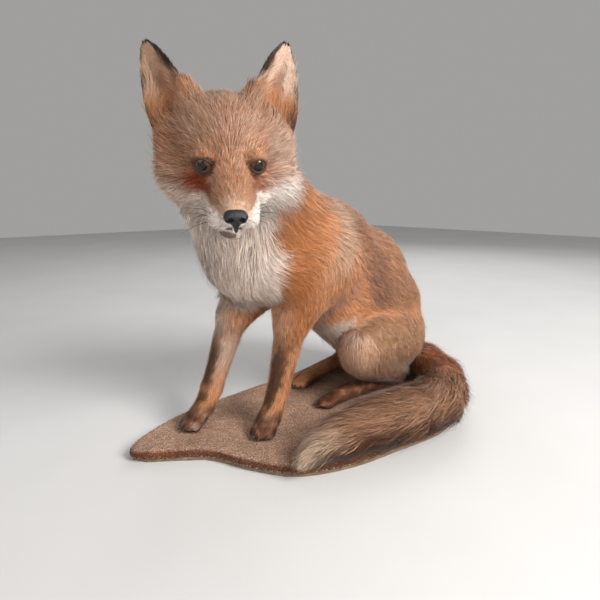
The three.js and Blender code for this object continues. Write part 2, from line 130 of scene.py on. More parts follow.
def on_head(ahead, left, above):
    return BETWEEN_EYES + vec(ahead, left, above) @ HEAD_AXES


def head_coordinates(points):
    """How far ahead, left and above each point is, seen from between the eyes."""
    return (points - BETWEEN_EYES) @ HEAD_AXES.T


def eye_centre(side):
    return on_head(EYE_AHEAD, side * EYE_SPREAD, EYE_ABOVE)


def eye_axes(side):
    """The eye's gaze, the way to its outer corner, and its own up."""
    gaze = FORWARD * np.cos(EYE_TURN) + LEFTWARD * side * np.sin(EYE_TURN)
    outer = unit(LEFTWARD * side - gaze * dot(LEFTWARD * side, gaze))
    return np.stack([gaze, outer, np.cross(gaze, outer) * side])


# ---------------------------------------------------------------- soft masses
@dataclass
class Mass:
    """A rounded cone between two points, out to the tips of the coat; the skin lies inside
    by `coat`, the fur's depth at each end. `lie` is the way its hair points."""

    part: str
    start: np.ndarray
    end: np.ndarray
    radii: tuple
    coat: tuple
    lie: np.ndarray
    blend: float = 8.0
    squash: float = 1.0
    across: np.ndarray = None

    def __post_init__(self):
        self.across = X_AXIS if self.across is None else self.across
        reach = max(self.radii) + REACH
        self.low = np.minimum(self.start, self.end) - reach
        self.high = np.maximum(self.start, self.end) + reach

    def near(self, points):
        """Which points the mass reaches."""
        return np.all((points > self.low) & (points < self.high), axis=-1)

    def reshape(self, points):
        """The points with the mass's flattening undone."""
        offset = (points - (self.start + self.end) / 2.0) @ self.across
        return points + offset[..., None] * (1.0 / self.squash - 1.0) * self.across

    def measure(self, points):
        """The distance from the skin, and how far along the mass, from 0 to 1."""
        start, end = self.reshape(self.start), self.reshape(self.end)
        length = max(np.linalg.norm(end - start), 1e-6)
        axis = (end - start) / length
        from_radius, to_radius = (r - c for r, c in zip(self.radii, self.coat))
        slope = np.clip((from_radius - to_radius) / length, -0.95, 0.95)
        reach = self.reshape(points) - start
        along = reach @ axis
        aside = np.sqrt(np.maximum(dot(reach, reach) - along * along, 0.0))
        foot = np.clip(along - aside * slope / np.sqrt(1.0 - slope * slope), 0.0, length)
        radius = from_radius + (to_radius - from_radius) * foot / length
        return np.hypot(aside, along - foot) - radius, foot / length


REACH = 48.0  # how far round a mass its distance still matters
FAR = 60.0  # the distance given to points no mass reaches


def smooth_union(a, b, width):
    share = np.clip(0.5 + 0.5 * (b - a) / width, 0.0, 1.0)
    return b + (a - b) * share - width * share * (1.0 - share)


DOWN_AND_BACK = vec(0, 0.55, -0.75)


def trunk_masses():
    rows = [
        ((0, 178, 78), (0, 166, 140), 60, 68, 11, 8, 0.9, "trunk"),
        ((0, 166, 140), (0, 113, 199), 68, 72, 11, 30, 0.88, "trunk"),
        ((0, 113, 199), (0, 18, 242), 72, 76, 11, 30, 0.86, "trunk"),
        ((0, 18, 242), (0, -58, 245), 76, 72, 12, 30, 0.92, "trunk"),
        ((0, 10, 200), (0, 110, 138), 58, 56, 10, 24, 0.95, "belly"),
        ((12, 24, 160), (24, 84, 94), 42, 36, 9, 20, 1.0, "belly"),
        ((0, -36, 273), (2, -112, 350), 62, 58, 15, 26, 0.95, "neck"),
        ((-20, -108, 242), (6, -151, 318), 54, 50, 17, 26, 1.0, "chest"),
    ]
    lies = {
        "trunk": None,  # along the mass, then down and back
        "belly": vec(0, 0.8, -0.6),
        "neck": vec(0, 0.55, -0.8),
        "chest": vec(0, -0.1, -1),
    }
    masses = []
    for start, end, from_radius, to_radius, coat, blend, squash, part in rows:
        start, end = vec(*start), vec(*end)
        lie = lies[part]
        if lie is None:
            lie = unit(start - end) + 0.55 * DOWN_AND_BACK
        radii = (from_radius, to_radius)
        masses.append(Mass(part, start, end, radii, (coat, coat), unit(lie), blend, squash))
    return masses


def head_masses():
    """The skull, muzzle, jaw, cheeks, brows and whisker pads, as ahead, left, above."""
    rows = [
        ("skull", (-54, 0, 8), (-30, 0, 14), 56, 46, 10, 8, 20, 1.1),
        ("skull", (-30, 0, 12), (2, 0, -2), 44, 24, 8, 4, 18, 1.12),
        ("muzzle", (0, 0, -14), (34, 0, -23), 26, 19, 4, 3, 14, 1.05),
        ("muzzle", (34, 0, -23), (61, 0, -30), 19, 13, 3, 2, 10, 1.1),
        ("jaw", (-10, 0, -42), (46, -3, -53), 22, 13, 7, 3, 10, 1.2),
        ("throat", (-34, 0, -38), (0, 0, -44), 36, 20, 14, 8, 16, 1.0),
        ("throat", (-52, -38, -34), (-42, -28, -62), 38, 32, 15, 15, 16, 1.0),
        ("skull", (-40, 27, 36), (-42, 32, 75), 24, 8, 9, 4.5, 14, 1.0),
        ("skull", (-37, -31, 36), (-38, -44, 73), 24, 8, 9, 4.5, 14, 1.0),
    ]
    for side in (LEFT, RIGHT):
        rows += [
            ("cheek", (-52, side * 45, 16), (-40, side * 43, -18), 35, 41, 11, 15, 16, 1.0),
            ("cheek", (-36, side * 37, -26), (-4, side * 23, -32), 38, 23, 15, 6, 16, 1.0),
            ("brow", (-22, side * 30, 11), (-9, side * 26, 12), 21, 14, 6, 4, 12, 1.0),
            ("muzzle", (26, side * 17, -36), (48, side * 15, -40), 15, 13, 3.5, 3, 8, 1.0),
        ]
    masses = []
    for part, start, end, from_radius, to_radius, from_coat, to_coat, blend, squash in rows:
        masses.append(
            Mass(
                part, on_head(*start), on_head(*end), (from_radius, to_radius),
                (from_coat, to_coat), -FORWARD, blend, squash, LEFTWARD,
            )
        )
    return masses


TOE_PLACES = (-1.5, -0.5, 0.5, 1.5)


def toes(part, knuckle, heading, spread, radius):
    """Four toes that rest on the sand, and the place where each claw starts."""
    heading = unit(heading)
    sideways = np.cross(Z_AXIS, heading)
    masses, claws = [], []
    for place in TOE_PLACES:
        root = knuckle + sideways * place * spread * 0.7
        reach = 29 if abs(place) < 1 else 22
        tip = knuckle + sideways * place * spread + heading * reach
        tip[2] = REST_PLANE + radius * 0.75
        masses.append(Mass(part, root, tip, (radius, radius * 0.92), (3.8, 3.2), heading, 5))
        claws.append((tip + heading * radius * 0.55, heading))
    return masses, claws


def chain(part, points, radii, coats, blend, squash=1.0, across=None, lie=None):
    """Masses through a row of points, with hair that runs along the row unless told."""
    masses = []
    for i in range(len(points) - 1):
        start, end = vec(*points[i]), vec(*points[i + 1])
        masses.append(
            Mass(
                part, start, end, (radii[i], radii[i + 1]), (coats[i], coats[i + 1]),
                unit(end - start) if lie is None else unit(lie), blend, squash, across,
            )
        )
    return masses


# Each foreleg: its joints from shoulder to knuckles, the way its paw points, its elbow.
FORELEGS = [
    ([(32, -20, 232), (33, -66, 160), (35, -94, 64), (38, -108, 40)], (0.34, -0.94, 0), 26),
    ([(-32, -40, 230), (-43, -108, 162), (-40, -150, 64), (-38, -165, 40)], (0.1, -1, 0), 25),
]
# Each hind leg: hip, knee and its radius, shin, hock, pad, and the way its foot points.
HIND_LEGS = [
    ((38, 150, 98), (62, 50, 100), 44, (62, 64, 76), (56, 142, 36), (42, 18, 30), (-0.2, -1, 0)),
    ((-34, 162, 98), (-46, 138, 82), 38, (-46, 144, 68), (-54, 150, 36), (-45, 36, 30),
     (0.1, -1, 0)),
]
# Places down the tail: x, y, z, radius, and the coat's depth.
TAIL_ROWS = [
    (14, 218, 56, 30, 14), (68, 209, 47, 34, 17), (119, 176, 43, 37, 20), (152, 128, 41, 40, 22),
    (165, 82, 40, 43, 23), (158, 28, 40, 42, 23), (147, -23, 39, 38, 21), (134, -75, 34, 28, 16),
    (128, -114, 28, 16, 10), (133, -142, 21, 4.5, 2.5),
]


def limb_masses():
    """The four legs' masses, and where each claw starts and points."""
    masses, claws = [], []
    for joints, heading, elbow_radius in FORELEGS:
        masses += chain("shoulder", joints[:2], (54, elbow_radius), (12, 8), 22,
                        lie=vec(0, 0.15, -1))
        masses += chain("forearm", joints[1:3], (elbow_radius - 3, 15.5), (8, 5), 14)
        masses += chain("paw", joints[2:], (15.5, 16), (5, 5.5), 8)
        foot, foot_claws = toes("paw", vec(*joints[3]), vec(*heading), 8.2, 8)
        masses += foot
        claws += foot_claws
    for hip, knee, knee_radius, shin, hock, pad, heading in HIND_LEGS:
        masses += chain("thigh", [hip, knee], (68, knee_radius), (11, 9), 12, 0.72,
                        lie=vec(0, 0.25, -1))
        masses += chain("shank", [shin, hock], (30, 19), (8, 6), 10)
        masses += chain("foot", [hock, pad], (16, 13), (5, 4), 8)
        foot, foot_claws = toes("foot", vec(*pad), vec(*heading), 6.6, 7.6)
        masses += foot
        claws += foot_claws
    return masses, claws


def tail_masses():
    centres = [row[:3] for row in TAIL_ROWS]
    radii = [row[3] for row in TAIL_ROWS]
    coats = [row[4] for row in TAIL_ROWS]
    return chain("tail", centres, radii, coats, 12, 0.84, Z_AXIS)


limbs, claw_places = limb_masses()
MASSES = trunk_masses() + limbs + tail_masses() + head_masses()


# ---------------------------------------------------------------- the skin's field
LID_RADIUS = EYE_RADIUS + 1.2
ALMOND_HALF_WIDTH = 9.4
ALMOND_UPPER = 6.7
ALMOND_LOWER = 6.9


def almond_height(across, upper):
    """The eyelids' opening above or below each place along the eye, corner to corner."""
    share = np.clip(1.0 - (across / ALMOND_HALF_WIDTH) ** 2, 0.0, 1.0)
    lean = 1.0 + (0.12 if upper else -0.1) * across / ALMOND_HALF_WIDTH
    return (ALMOND_UPPER if upper else -ALMOND_LOWER) * share**0.8 * lean


def opening_distance(points, side):
    """Below zero inside the eyelids' opening, drawn straight out along the gaze."""
    seen = (points - eye_centre(side)) @ eye_axes(side).T
    ahead, across, above = seen[..., 0], seen[..., 1], seen[..., 2]
    above_lid = above - almond_height(across, True)
    below_lid = almond_height(across, False) - above
    return np.maximum.reduce([above_lid, below_lid, np.abs(across) - ALMOND_HALF_WIDTH, 3 - ahead])


def ellipsoid(points, centre, half_widths):
    """Roughly the distance from an ellipsoid that lies along the head's axes."""
    offset = head_coordinates(points) - vec(*centre)
    half = vec(*half_widths)
    first = np.linalg.norm(offset / half, axis=-1)
    second = np.linalg.norm(offset / half**2, axis=-1)
    return first * (first - 1.0) / np.maximum(second, 1e-6)


# The mouth's line as how far ahead and above, from the front to the corner.
LIP_LINE = [(68, -46), (60, -48), (46, -52), (32, -52), (20, -47), (12, -40)]
MOUTH_GROOVE = 1.1
FACE_REACH = 110.0  # how far from between the eyes the face is carved


def lip_height(ahead):
    line = LIP_LINE[::-1]
    return np.interp(ahead, [a for a, _ in line], [u for _, u in line])


BARE_LIP = vec(55, -8, -56)
BARE_LIP_HALF_WIDTHS = vec(12, 10.5, 5.5)


def lip_skin(place):
    """How far each place on the head is from the bare lower lip, where 1 is its edge."""
    return np.linalg.norm((place - BARE_LIP) / BARE_LIP_HALF_WIDTHS, axis=-1)


def skin_distance(points):
    """The distance from the fox's skin, below zero inside."""
    total = np.full(points.shape[:-1], FAR)
    for mass in MASSES:
        near = mass.near(points)
        if near.any():
            distance, _ = mass.measure(points[near])
            total[near] = smooth_union(total[near], distance, mass.blend)
    near = np.linalg.norm(points - BETWEEN_EYES, axis=-1) < FACE_REACH
    if near.any():
        total[near] = carve_face(points[near], total[near])
    return np.maximum(total, REST_PLANE - points[..., 2])


SOCKET_RADIUS = 14.0  # of the ball that presses a bed for each eye into the head
SOCKET_AHEAD = 1.5 * EYE_RADIUS  # how far before the eye that ball's middle lies
NOSE_BED = (67, 0, -29), (9, 10, 6.5)  # the hollow behind the nose pad
MOUTH_CORNER = 13.0  # how far ahead the mouth's line ends
MOUTH_DEPTH = 2.4


def carve_face(points, total):
    """Sets the eyes into lids, opens the lids, parts the lips and hollows out the nose."""
    for side in (LEFT, RIGHT):
        bed = eye_centre(side) + eye_axes(side)[0] * SOCKET_AHEAD
        socket = np.linalg.norm(points - bed, axis=-1) - SOCKET_RADIUS
        total = -smooth_union(-total, socket, 6.0)
        lid = np.linalg.norm(points - eye_centre(side), axis=-1) - LID_RADIUS
        total = smooth_union(total, lid, 4.0)
        total = np.maximum(total, -opening_distance(points, side))
    total = np.maximum(total, -ellipsoid(points, *NOSE_BED))
    place = head_coordinates(points)
    ahead, above = place[..., 0], place[..., 2]
    past_corner = np.maximum(MOUTH_CORNER - ahead, 0.0)
    groove = np.hypot(above - lip_height(ahead), past_corner) - MOUTH_GROOVE
    return np.maximum(total, -np.maximum(groove, -MOUTH_DEPTH - total))


def outward(points, step=0.6):
    """The skin's outward direction, from the slope of its field."""
    slopes = [skin_distance(points + axis * step) - skin_distance(points - axis * step)
              for axis in np.eye(3)]
    return unit(np.stack(slopes, axis=-1))


# ---------------------------------------------------------------- a mesh of the skin
def graded_axis(low, high, fine_low, fine_high, fine, coarse, stride):
    """Sample places from low to high, close together between fine_low and fine_high."""
    before = np.arange(fine_low, low - coarse, -coarse)[::-1]
    within = np.arange(fine_low, fine_high, fine)[1:]
    after = np.arange(within[-1] + coarse, high + coarse, coarse)
    axis = np.concatenate([before, within, after])
    return axis[: (len(axis) - 1) // stride * stride + 1]


def sampled(axes, stride):
    """The field on the grid of the axes, exact only in the blocks near the surface."""
    rough_axes = [axis[::stride] for axis in axes]
    rough = skin_distance(grid(rough_axes))
    blocks = tuple(n - 1 for n in rough.shape)
    corners = [
        rough[i:blocks[0] + i, j:blocks[1] + j, k:blocks[2] + k]
        for i, j, k in np.ndindex(2, 2, 2)
    ]
    nearest = np.min(np.abs(corners), axis=0)
    sides = np.meshgrid(*[np.diff(axis) for axis in rough_axes], indexing="ij")
    diagonal = np.sqrt(sum(side**2 for side in sides))
    close = nearest < 0.8 * diagonal
    shape = [len(axis) for axis in axes]
    field = np.full(shape, FAR, np.float32)
    spread = corners[0]
    for direction in range(3):
        spread = np.repeat(spread, stride, axis=direction)
        close = np.repeat(close, stride, axis=direction)
    inner = tuple(slice(0, n) for n in spread.shape)
    field[inner] = np.where(np.abs(spread) < 1.0, 1.0, spread)
    picked = np.argwhere(close)
    places = np.stack([axis[picked[:, i]] for i, axis in enumerate(axes)], axis=-1)
    field[tuple(picked.T)] = skin_distance(places)
    return field


def surface_nets(field, axes):
    """The field's zero surface as points and quads that face out of the negative side."""
    inside = field < 0
    size = np.array(field.shape)
    count = np.zeros(tuple(size - 1), np.int8)
    for i, j, k in np.ndindex(2, 2, 2):
        count += inside[i:size[0] - 1 + i, j:size[1] - 1 + j, k:size[2] - 1 + k]
    crossed = (count > 0) & (count < 8)
    cells = np.argwhere(crossed)
    index = np.full(crossed.shape, -1)
    index[crossed] = np.arange(len(cells))
    total = np.zeros((len(cells), 3))
    crossings = np.zeros(len(cells))
    steps = np.eye(3, dtype=int)
    for direction in range(3):
        for corner in np.ndindex(2, 2, 2):
            if corner[direction]:
                continue
            first = cells + np.array(corner)
            a = field[tuple(first.T)]
            b = field[tuple((first + steps[direction]).T)]
            cuts = (a < 0) != (b < 0)
            share = np.where(cuts, a / np.where(cuts, a - b, 1.0), 0.0)
            place = np.array(corner) + share[:, None] * steps[direction]
            total += np.where(cuts[:, None], place, 0.0)
            crossings += cuts
    local = total / crossings[:, None]
    points = np.stack(
        [np.interp(cells[:, i] + local[:, i], np.arange(len(axis)), axis)
         for i, axis in enumerate(axes)],
        axis=-1,
    )
    quads = []
    for direction in range(3):
        one, two = steps[(direction + 1) % 3], steps[(direction + 2) % 3]
        here = [slice(1, -1)] * 3
        there = [slice(1, -1)] * 3
        here[direction] = slice(0, size[direction] - 1)
        there[direction] = slice(1, size[direction])
        a, b = inside[tuple(here)], inside[tuple(there)]
        edges = np.argwhere(a != b)
        leaving = a[tuple(edges.T)]
        edges = edges + 1 - steps[direction]
        quad = np.stack([index[tuple((edges - o).T)] for o in (one + two, two, one * 0, one)], 1)
        quad[~leaving] = quad[~leaving][:, ::-1]
        quads.append(quad)
    return points, np.concatenate(quads)


FINE, COARSE, STRIDE = 1.5, 3.0, 4  # the sampling over the head, elsewhere, and its blocks
BODY_SPANS = [(-130, 215), (-235, 262), (12, 440)]
HEAD_SPANS = [(-20, 122), (-222, -110), (296, 424)]


def skin_surface():
    """The skin's points, its quads, and the outward direction at each point."""
    axes = [
        graded_axis(*body, *head, FINE, COARSE, STRIDE)
        for body, head in zip(BODY_SPANS, HEAD_SPANS)
    ]
    points, quads = surface_nets(sampled(axes, STRIDE), axes)
    for _ in range(2):
        shift = np.clip(skin_distance(points), -0.8, 0.8)
        points = points - outward(points) * shift[:, None]
    return points, quads, outward(points)


# ---------------------------------------------------------------- ears
@dataclass
class Ear:
    """A cupped blade with a crescent section. `share` runs from base to tip, `b` from the
    inner edge (-1) to the outer (1), and `front` is 1 on the hollow face and -1 behind."""

    side: int
    base: np.ndarray
    tip: np.ndarray
    turn_out: float

    HALF_WIDTH = 31.0
    CURL = 0.5
    SKIN_HALF_THICKNESS = 1.4

    def __post_init__(self):
        self.height = np.linalg.norm(self.tip - self.base)
        self.axis = unit(self.tip - self.base)
        across = LEFTWARD * self.side * np.cos(self.turn_out) - FORWARD * np.sin(self.turn_out)
        self.across = unit(across - self.axis * dot(across, self.axis))
        self.face = np.cross(self.across, self.axis) * self.side

    def point(self, share, b, front):
        share, b = np.broadcast_arrays(np.asarray(share, float), np.asarray(b, float))
        t = np.maximum(share, 0.0)
        half = self.HALF_WIDTH * (1.0 - t**1.9) ** 0.72
        place = b * half
        edge = np.sqrt(np.maximum(1.0 - b * b / 1.03, 0.0))
        bow = self.CURL * self.HALF_WIDTH * (place / self.HALF_WIDTH) ** 2 * (1.0 - 0.4 * t)
        depth = bow + front * self.SKIN_HALF_THICKNESS * edge
        middle = self.base + self.axis * (share * self.height)[..., None]
        return middle + self.across * place[..., None] + self.face * depth[..., None]

    def normal(self, share, b, front):
        step = 0.01
        b = np.clip(b, -0.9, 0.9)
        along = self.point(share + step, b, front) - self.point(share - step, b, front)
        aside = self.point(share, b + step, front) - self.point(share, b - step, front)
        facing = unit(np.cross(along, aside))
        return facing * np.sign(dot(facing, self.face) * front)[..., None]


EARS = [
    Ear(LEFT, on_head(-50, 45, 36), on_head(-62, 65, 109), np.radians(16)),
    Ear(RIGHT, on_head(-50, -47, 34), on_head(-62, -79, 101), np.radians(28)),
]


def ear_surface(ear):
    """The ear's closed blade as points, triangles, and each point's share, b and front."""
    shares = np.concatenate([[-0.22, -0.1], np.linspace(0, 0.9, 22), [0.94, 0.97, 0.985]])
    steps = np.cos(np.linspace(0, np.pi, 15))
    bs = np.concatenate([steps, -steps[1:-1]])
    fronts = np.concatenate([np.ones(len(steps)), -np.ones(len(steps) - 2)])
    places = [np.stack([np.full(len(bs), share), bs, fronts], axis=-1) for share in shares]
    rings = np.stack([ear.point(*place.T) for place in places])
    ends = [(shares[0], 0, 1), (shares[-1], 0, 1)]
    return *closed_rings(rings), np.concatenate([*places, ends])


def closed_rings(rings):
    """Rings of points joined into one closed surface, with a point at the middle of each end."""
    count, sides, _ = rings.shape
    ends = [rings[0].mean(0), rings[-1].mean(0)]
    points = np.concatenate([rings.reshape(-1, 3), ends])
    side = np.arange(sides)
    following = (side + 1) % sides
    faces = [np.stack([np.full(sides, count * sides), following, side], 1)]
    for ring in range(count - 1):
        a, b = ring * sides + side, ring * sides + following
        faces.append(np.stack([a, b, b + sides], 1))
        faces.append(np.stack([a, b + sides, a + sides], 1))
    last = (count - 1) * sides
    faces.append(np.stack([np.full(sides, count * sides + 1), last + side, last + following], 1))
    triangles = np.concatenate(faces)
    return points, facing_out(points, triangles)


def facing_out(points, triangles):
    """Turns a closed surface the right way round, by the sign of its volume."""
    a, b, c = (points[triangles[:, i]] for i in range(3))
    volume = dot(a, np.cross(b, c)).sum()
    return triangles if volume > 0 else triangles[:, ::-1]


# ---------------------------------------------------------------- markings
FOREHEAD = vec(0.365, 0.190, 0.115)
CROWN = vec(0.31, 0.159, 0.089)
RUFOUS = vec(0.42, 0.16, 0.06)
MUZZLE_TOP = vec(0.40, 0.178, 0.090)
MUZZLE_END = vec(0.62, 0.42, 0.30)
TEAR_STREAK = vec(0.23, 0.036, 0.005)
EYE_RIM = vec(0.05, 0.02, 0.011)
WHITE = vec(0.90, 0.82, 0.76)
CREAM = vec(0.70, 0.56, 0.46)
THROAT = vec(0.76, 0.63, 0.55)
LIP_SKIN = vec(0.20, 0.14, 0.12)
ORANGE = vec(0.415, 0.150, 0.047)
FLANK = vec(0.59, 0.255, 0.115)
PALE_BAND = vec(0.49, 0.33, 0.23)
SADDLE = vec(0.235, 0.112, 0.064)
BACK = vec(0.38, 0.18, 0.09)
THIGH = vec(0.41, 0.22, 0.12)
THIGH_EDGE = vec(0.62, 0.44, 0.33)
LEG_ORANGE = vec(0.66, 0.305, 0.15)
LEG_PALE = vec(0.58, 0.43, 0.34)
# a paler orange painted as light on the top of the fox's left foreleg
LEG_TOP_PAINTED_LIGHT = vec(0.78, 0.42, 0.24)
LEG_DARK = vec(0.085, 0.034, 0.018)
PAW = vec(0.18, 0.062, 0.026)
HIND_FOOT = vec(0.17, 0.06, 0.03)
TAIL_ROOT = vec(0.36, 0.115, 0.042)
TAIL_TAN = vec(0.29, 0.140, 0.074)
TAIL_DARK = vec(0.080, 0.028, 0.012)
TAIL_TIP = vec(0.50, 0.36, 0.26)
EAR_BLACK = vec(0.05, 0.027, 0.018)
EAR_INSIDE = vec(0.70, 0.50, 0.39)
# the inside of the fox's right ear, darkened as painted shade
EAR_INSIDE_SHADED = vec(0.46, 0.26, 0.16)
EAR_HOLLOW = vec(0.34, 0.14, 0.065)
EAR_BASE = vec(0.46, 0.20, 0.09)


def eye_oval(points, side):
    """How far out from the eyelids' opening, where 1 is its edge."""
    seen = (points - eye_centre(side)) @ eye_axes(side).T
    return np.hypot((seen[:, 1] + 0.8) / ALMOND_HALF_WIDTH, (seen[:, 2] + 1.8) / ALMOND_UPPER)


def head_colour(points):
    """The face, brow, crown, cheeks and throat."""
    place = head_coordinates(points)
    ahead, left, above = place.T
    out = np.abs(left)
    wobble = noise(points, 11, 3) * 3.0
    tone = mix(FOREHEAD, CROWN, ramp(ahead + wobble, -10, -40) * ramp(above, 14, 36))
    # The sides of the head are rufous; far more rufous is painted on the fox's right than on its
    # left, as painted warm shade on that side.
    side_red = ramp(out + wobble, 36, 54) * ramp(above, -16, 4)
    tone = mix(tone, RUFOUS, side_red * np.where(left > 0, 0.08, 0.65))
    # The fox's left side of the head is painted paler with cream: painted light on that side.
    tone = mix(tone, CREAM, ramp(left + wobble, 26, 46) * ramp(above, 42, 12) * 0.3)
    tone = mix(tone, RUFOUS, ramp(out + wobble, 22, 38) * ramp(above, 36, 50) * 0.4)
    tone = mix(tone, MUZZLE_TOP, ramp(ahead, 2, 20))
    tone = mix(tone, MUZZLE_END, ramp(ahead + wobble, 50, 62) * 0.8)
    for side in (LEFT, RIGHT):
        reach = np.linalg.norm(points - eye_centre(side), axis=-1)
        tone = mix(tone, RUFOUS, ramp(reach, 28, 14) * 0.5)
    streak_middle = np.interp(ahead, [0, 8, 16, 30, 44], [38, 34, 29, 22, 19])
    streak_height = np.interp(ahead, [0, 8, 16, 30, 44], [-9, -13, -17, -21, -25])
    off_streak = np.hypot(out - streak_middle, (above - streak_height) * 0.9) + wobble
    streak = ramp(off_streak, 12, 4) * ramp(ahead, 48, 24) * ramp(ahead, -12, 2)
    # The tear streak is painted at full strength on the fox's right and at half on its left; the
    # extra darkness on the right is painted shade.
    tone = mix(tone, TEAR_STREAK, streak * np.where(left > 0, 0.5, 1.0))
    white_edge = np.interp(out, [12, 19, 24, 33, 49, 64, 90], [-31, -28, -27, -27, -21, -17, -14])
    white_edge = white_edge + wobble * 0.6 + 2.5 * ramp(left, 20, 36)
    white = ramp(above + 1.5 * noise(points, 3, 4), white_edge + 4.0, white_edge - 5.0)
    # On the fox's right the white is painted creamier and darker, towards PALE_BAND: painted shade
    # on that side of the face.
    off_white = np.maximum(ramp(ahead, -10, -55) * 0.35, ramp(left, -8, -34) * 0.9)
    pale = mix(WHITE, CREAM, off_white)
    pale = mix(pale, PALE_BAND, ramp(left, -22, -50) * 0.45)
    pale = mix(pale, THROAT, ramp(above, -48, -70))
    tone = mix(tone, pale, white)
    tone = mix(tone, LIP_SKIN, ramp(lip_skin(place) + 0.04 * wobble, 1.15, 0.85))
    for side in (LEFT, RIGHT):
        near = ramp(eye_oval(points, side), 1.75, 1.2) * ramp(ahead, -8, -2)
        tone = mix(tone, EYE_RIM, near * (0.9 if side == RIGHT else 0.7))
    return tone


def along_tail(points):
    """How far down the tail each point is, from 0 at its root to 1 at its tip."""
    centres = np.array([row[:3] for row in TAIL_ROWS], float)
    best = np.full(len(points), 1e9)
    share = np.zeros(len(points))
    for i in range(len(centres) - 1):
        step = centres[i + 1] - centres[i]
        t = np.clip((points - centres[i]) @ step / dot(step, step), 0, 1)
        distance = np.linalg.norm(points - centres[i] - t[:, None] * step, axis=-1)
        closer = distance < best
        best = np.where(closer, distance, best)
        share = np.where(closer, (i + t) / (len(centres) - 1), share)
    return share


def tail_colour(points, normals):
    """Rufous at the root, tan along the top, pale at the tip, and dark along the lower edge,
    partly the tail's dark hair and partly painted shade on its down-facing side.
    """
    share = along_tail(points)
    wobble = noise(points, 16, 5) * 0.05
    tone = mix(TAIL_ROOT, TAIL_TAN, ramp(share + wobble, 0.16, 0.34))
    tone = mix(tone, TAIL_TIP, ramp(share + wobble, 0.66, 0.84))
    patch = ramp(np.abs(share - 0.14 + wobble), 0.08, 0.03) * ramp(normals[:, 2], -0.2, 0.3)
    tone = mix(tone, TAIL_DARK, patch * 0.35)
    # The band darkens the outer, down-facing side of the tail: partly dark hair, partly painted
    # shade.
    outer = ramp(dot(normals, unit(vec(0.9, -0.4, 0.0))), -0.1, 0.25)
    low = ramp(normals[:, 2] + 3 * wobble, 0.32, 0.04)
    band = outer * low * ramp(share, 0.26, 0.36) * ramp(share, 0.90, 0.76)
    return mix(tone, TAIL_DARK, band * 0.94)


def body_colour(points, normals):
    """The trunk's, neck's and legs' colours from the place on the body."""
    x, y, z = points.T
    wobble = noise(points, 18, 7)
    mottle = noise(points, 7, 8)
    tone = mix(ORANGE, FLANK, ramp(y + 10 * wobble, -75, -40))
    band_middle = np.interp(z, [235, 300], [-22, -4])
    band = ramp(np.abs(y - band_middle + 6 * wobble), 34, 12) * ramp(z + 8 * wobble, 222, 262)
    tone = mix(tone, PALE_BAND, band * (0.85 + 0.15 * mottle))
    saddle_middle = np.interp(z, [150, 187, 227, 257, 281, 310], [98, 80, 60, 40, 22, 30])
    saddle_width = np.interp(z, [150, 190, 230, 300], [12, 22, 26, 20])
    off_saddle = np.abs(y - saddle_middle + 8 * wobble) / saddle_width
    saddle = ramp(off_saddle, 1.5, 0.5) * ramp(z, 140, 180)
    tone = mix(tone, BACK, ramp(y - saddle_middle + 10 * wobble, 0, 30) * ramp(z, 140, 170))
    tone = mix(tone, SADDLE, saddle * (0.85 + 0.15 * mottle))
    tone = mix(tone, BACK, ramp(normals[:, 2] + 0.1 * wobble, 0.7, 0.9) * 0.6)
    tone = mix(tone, THIGH, ramp(z + 12 * wobble, 164, 130) * ramp(y, 20, 50))
    front_edge = ramp(y + 12 * wobble + 8 * mottle, 64, 12) * ramp(z + 8 * wobble, 142, 108)
    # The low part of the thigh is painted paler: painted light against the shade beneath the
    # thigh.
    low_thigh_painted_light = ramp(z + 6 * wobble, 92, 62) * ramp(y, -10, 10)
    edge = np.maximum(front_edge * ramp(y, -30, 0) * 0.55, low_thigh_painted_light * 0.5)
    tone = mix(tone, THIGH_EDGE, edge)
    belly = ramp(normals[:, 2] + 0.12 * wobble, -0.35, -0.65) * ramp(z, 100, 120)
    belly = belly * ramp(z + 6 * wobble, 176, 160)
    below_flank = ramp(z + 6 * wobble, 162, 152) * ramp(y, 40, 22) * ramp(z, 114, 134)
    tone = mix(tone, THROAT, np.maximum(belly, below_flank) * ramp(y, -38, -16) * 0.9)
    # The top of each foreleg's front is painted paler, orange on the fox's left and cream on its
    # right: painted light where the chest and head shade it.
    painted_light_leg_top = ramp(z + 6 * wobble, 214, 190) * ramp(normals @ unit(vec(-0.25, -1, 0)), 0.45, 0.9)
    painted_light_tone = np.where((x > 0)[:, None], LEG_TOP_PAINTED_LIGHT, CREAM)
    tone = mix(tone, painted_light_tone, painted_light_leg_top * ramp(y, 0, -30) * 0.7)
    along = np.clip((points - CHEST_TOP) @ CHEST_AXIS, 0, CHEST_LENGTH)
    reach = np.linalg.norm(points - CHEST_TOP - along[:, None] * CHEST_AXIS, axis=-1)
    return mix(tone, THROAT, ramp(reach + 6 * wobble, 72, 58) * ramp(z + 8 * wobble, 186, 204))


CHEST_TOP = vec(20, -176, 330)
CHEST_LOW = vec(-6, -148, 205)
CHEST_LENGTH = np.linalg.norm(CHEST_LOW - CHEST_TOP)
CHEST_AXIS = (CHEST_LOW - CHEST_TOP) / CHEST_LENGTH


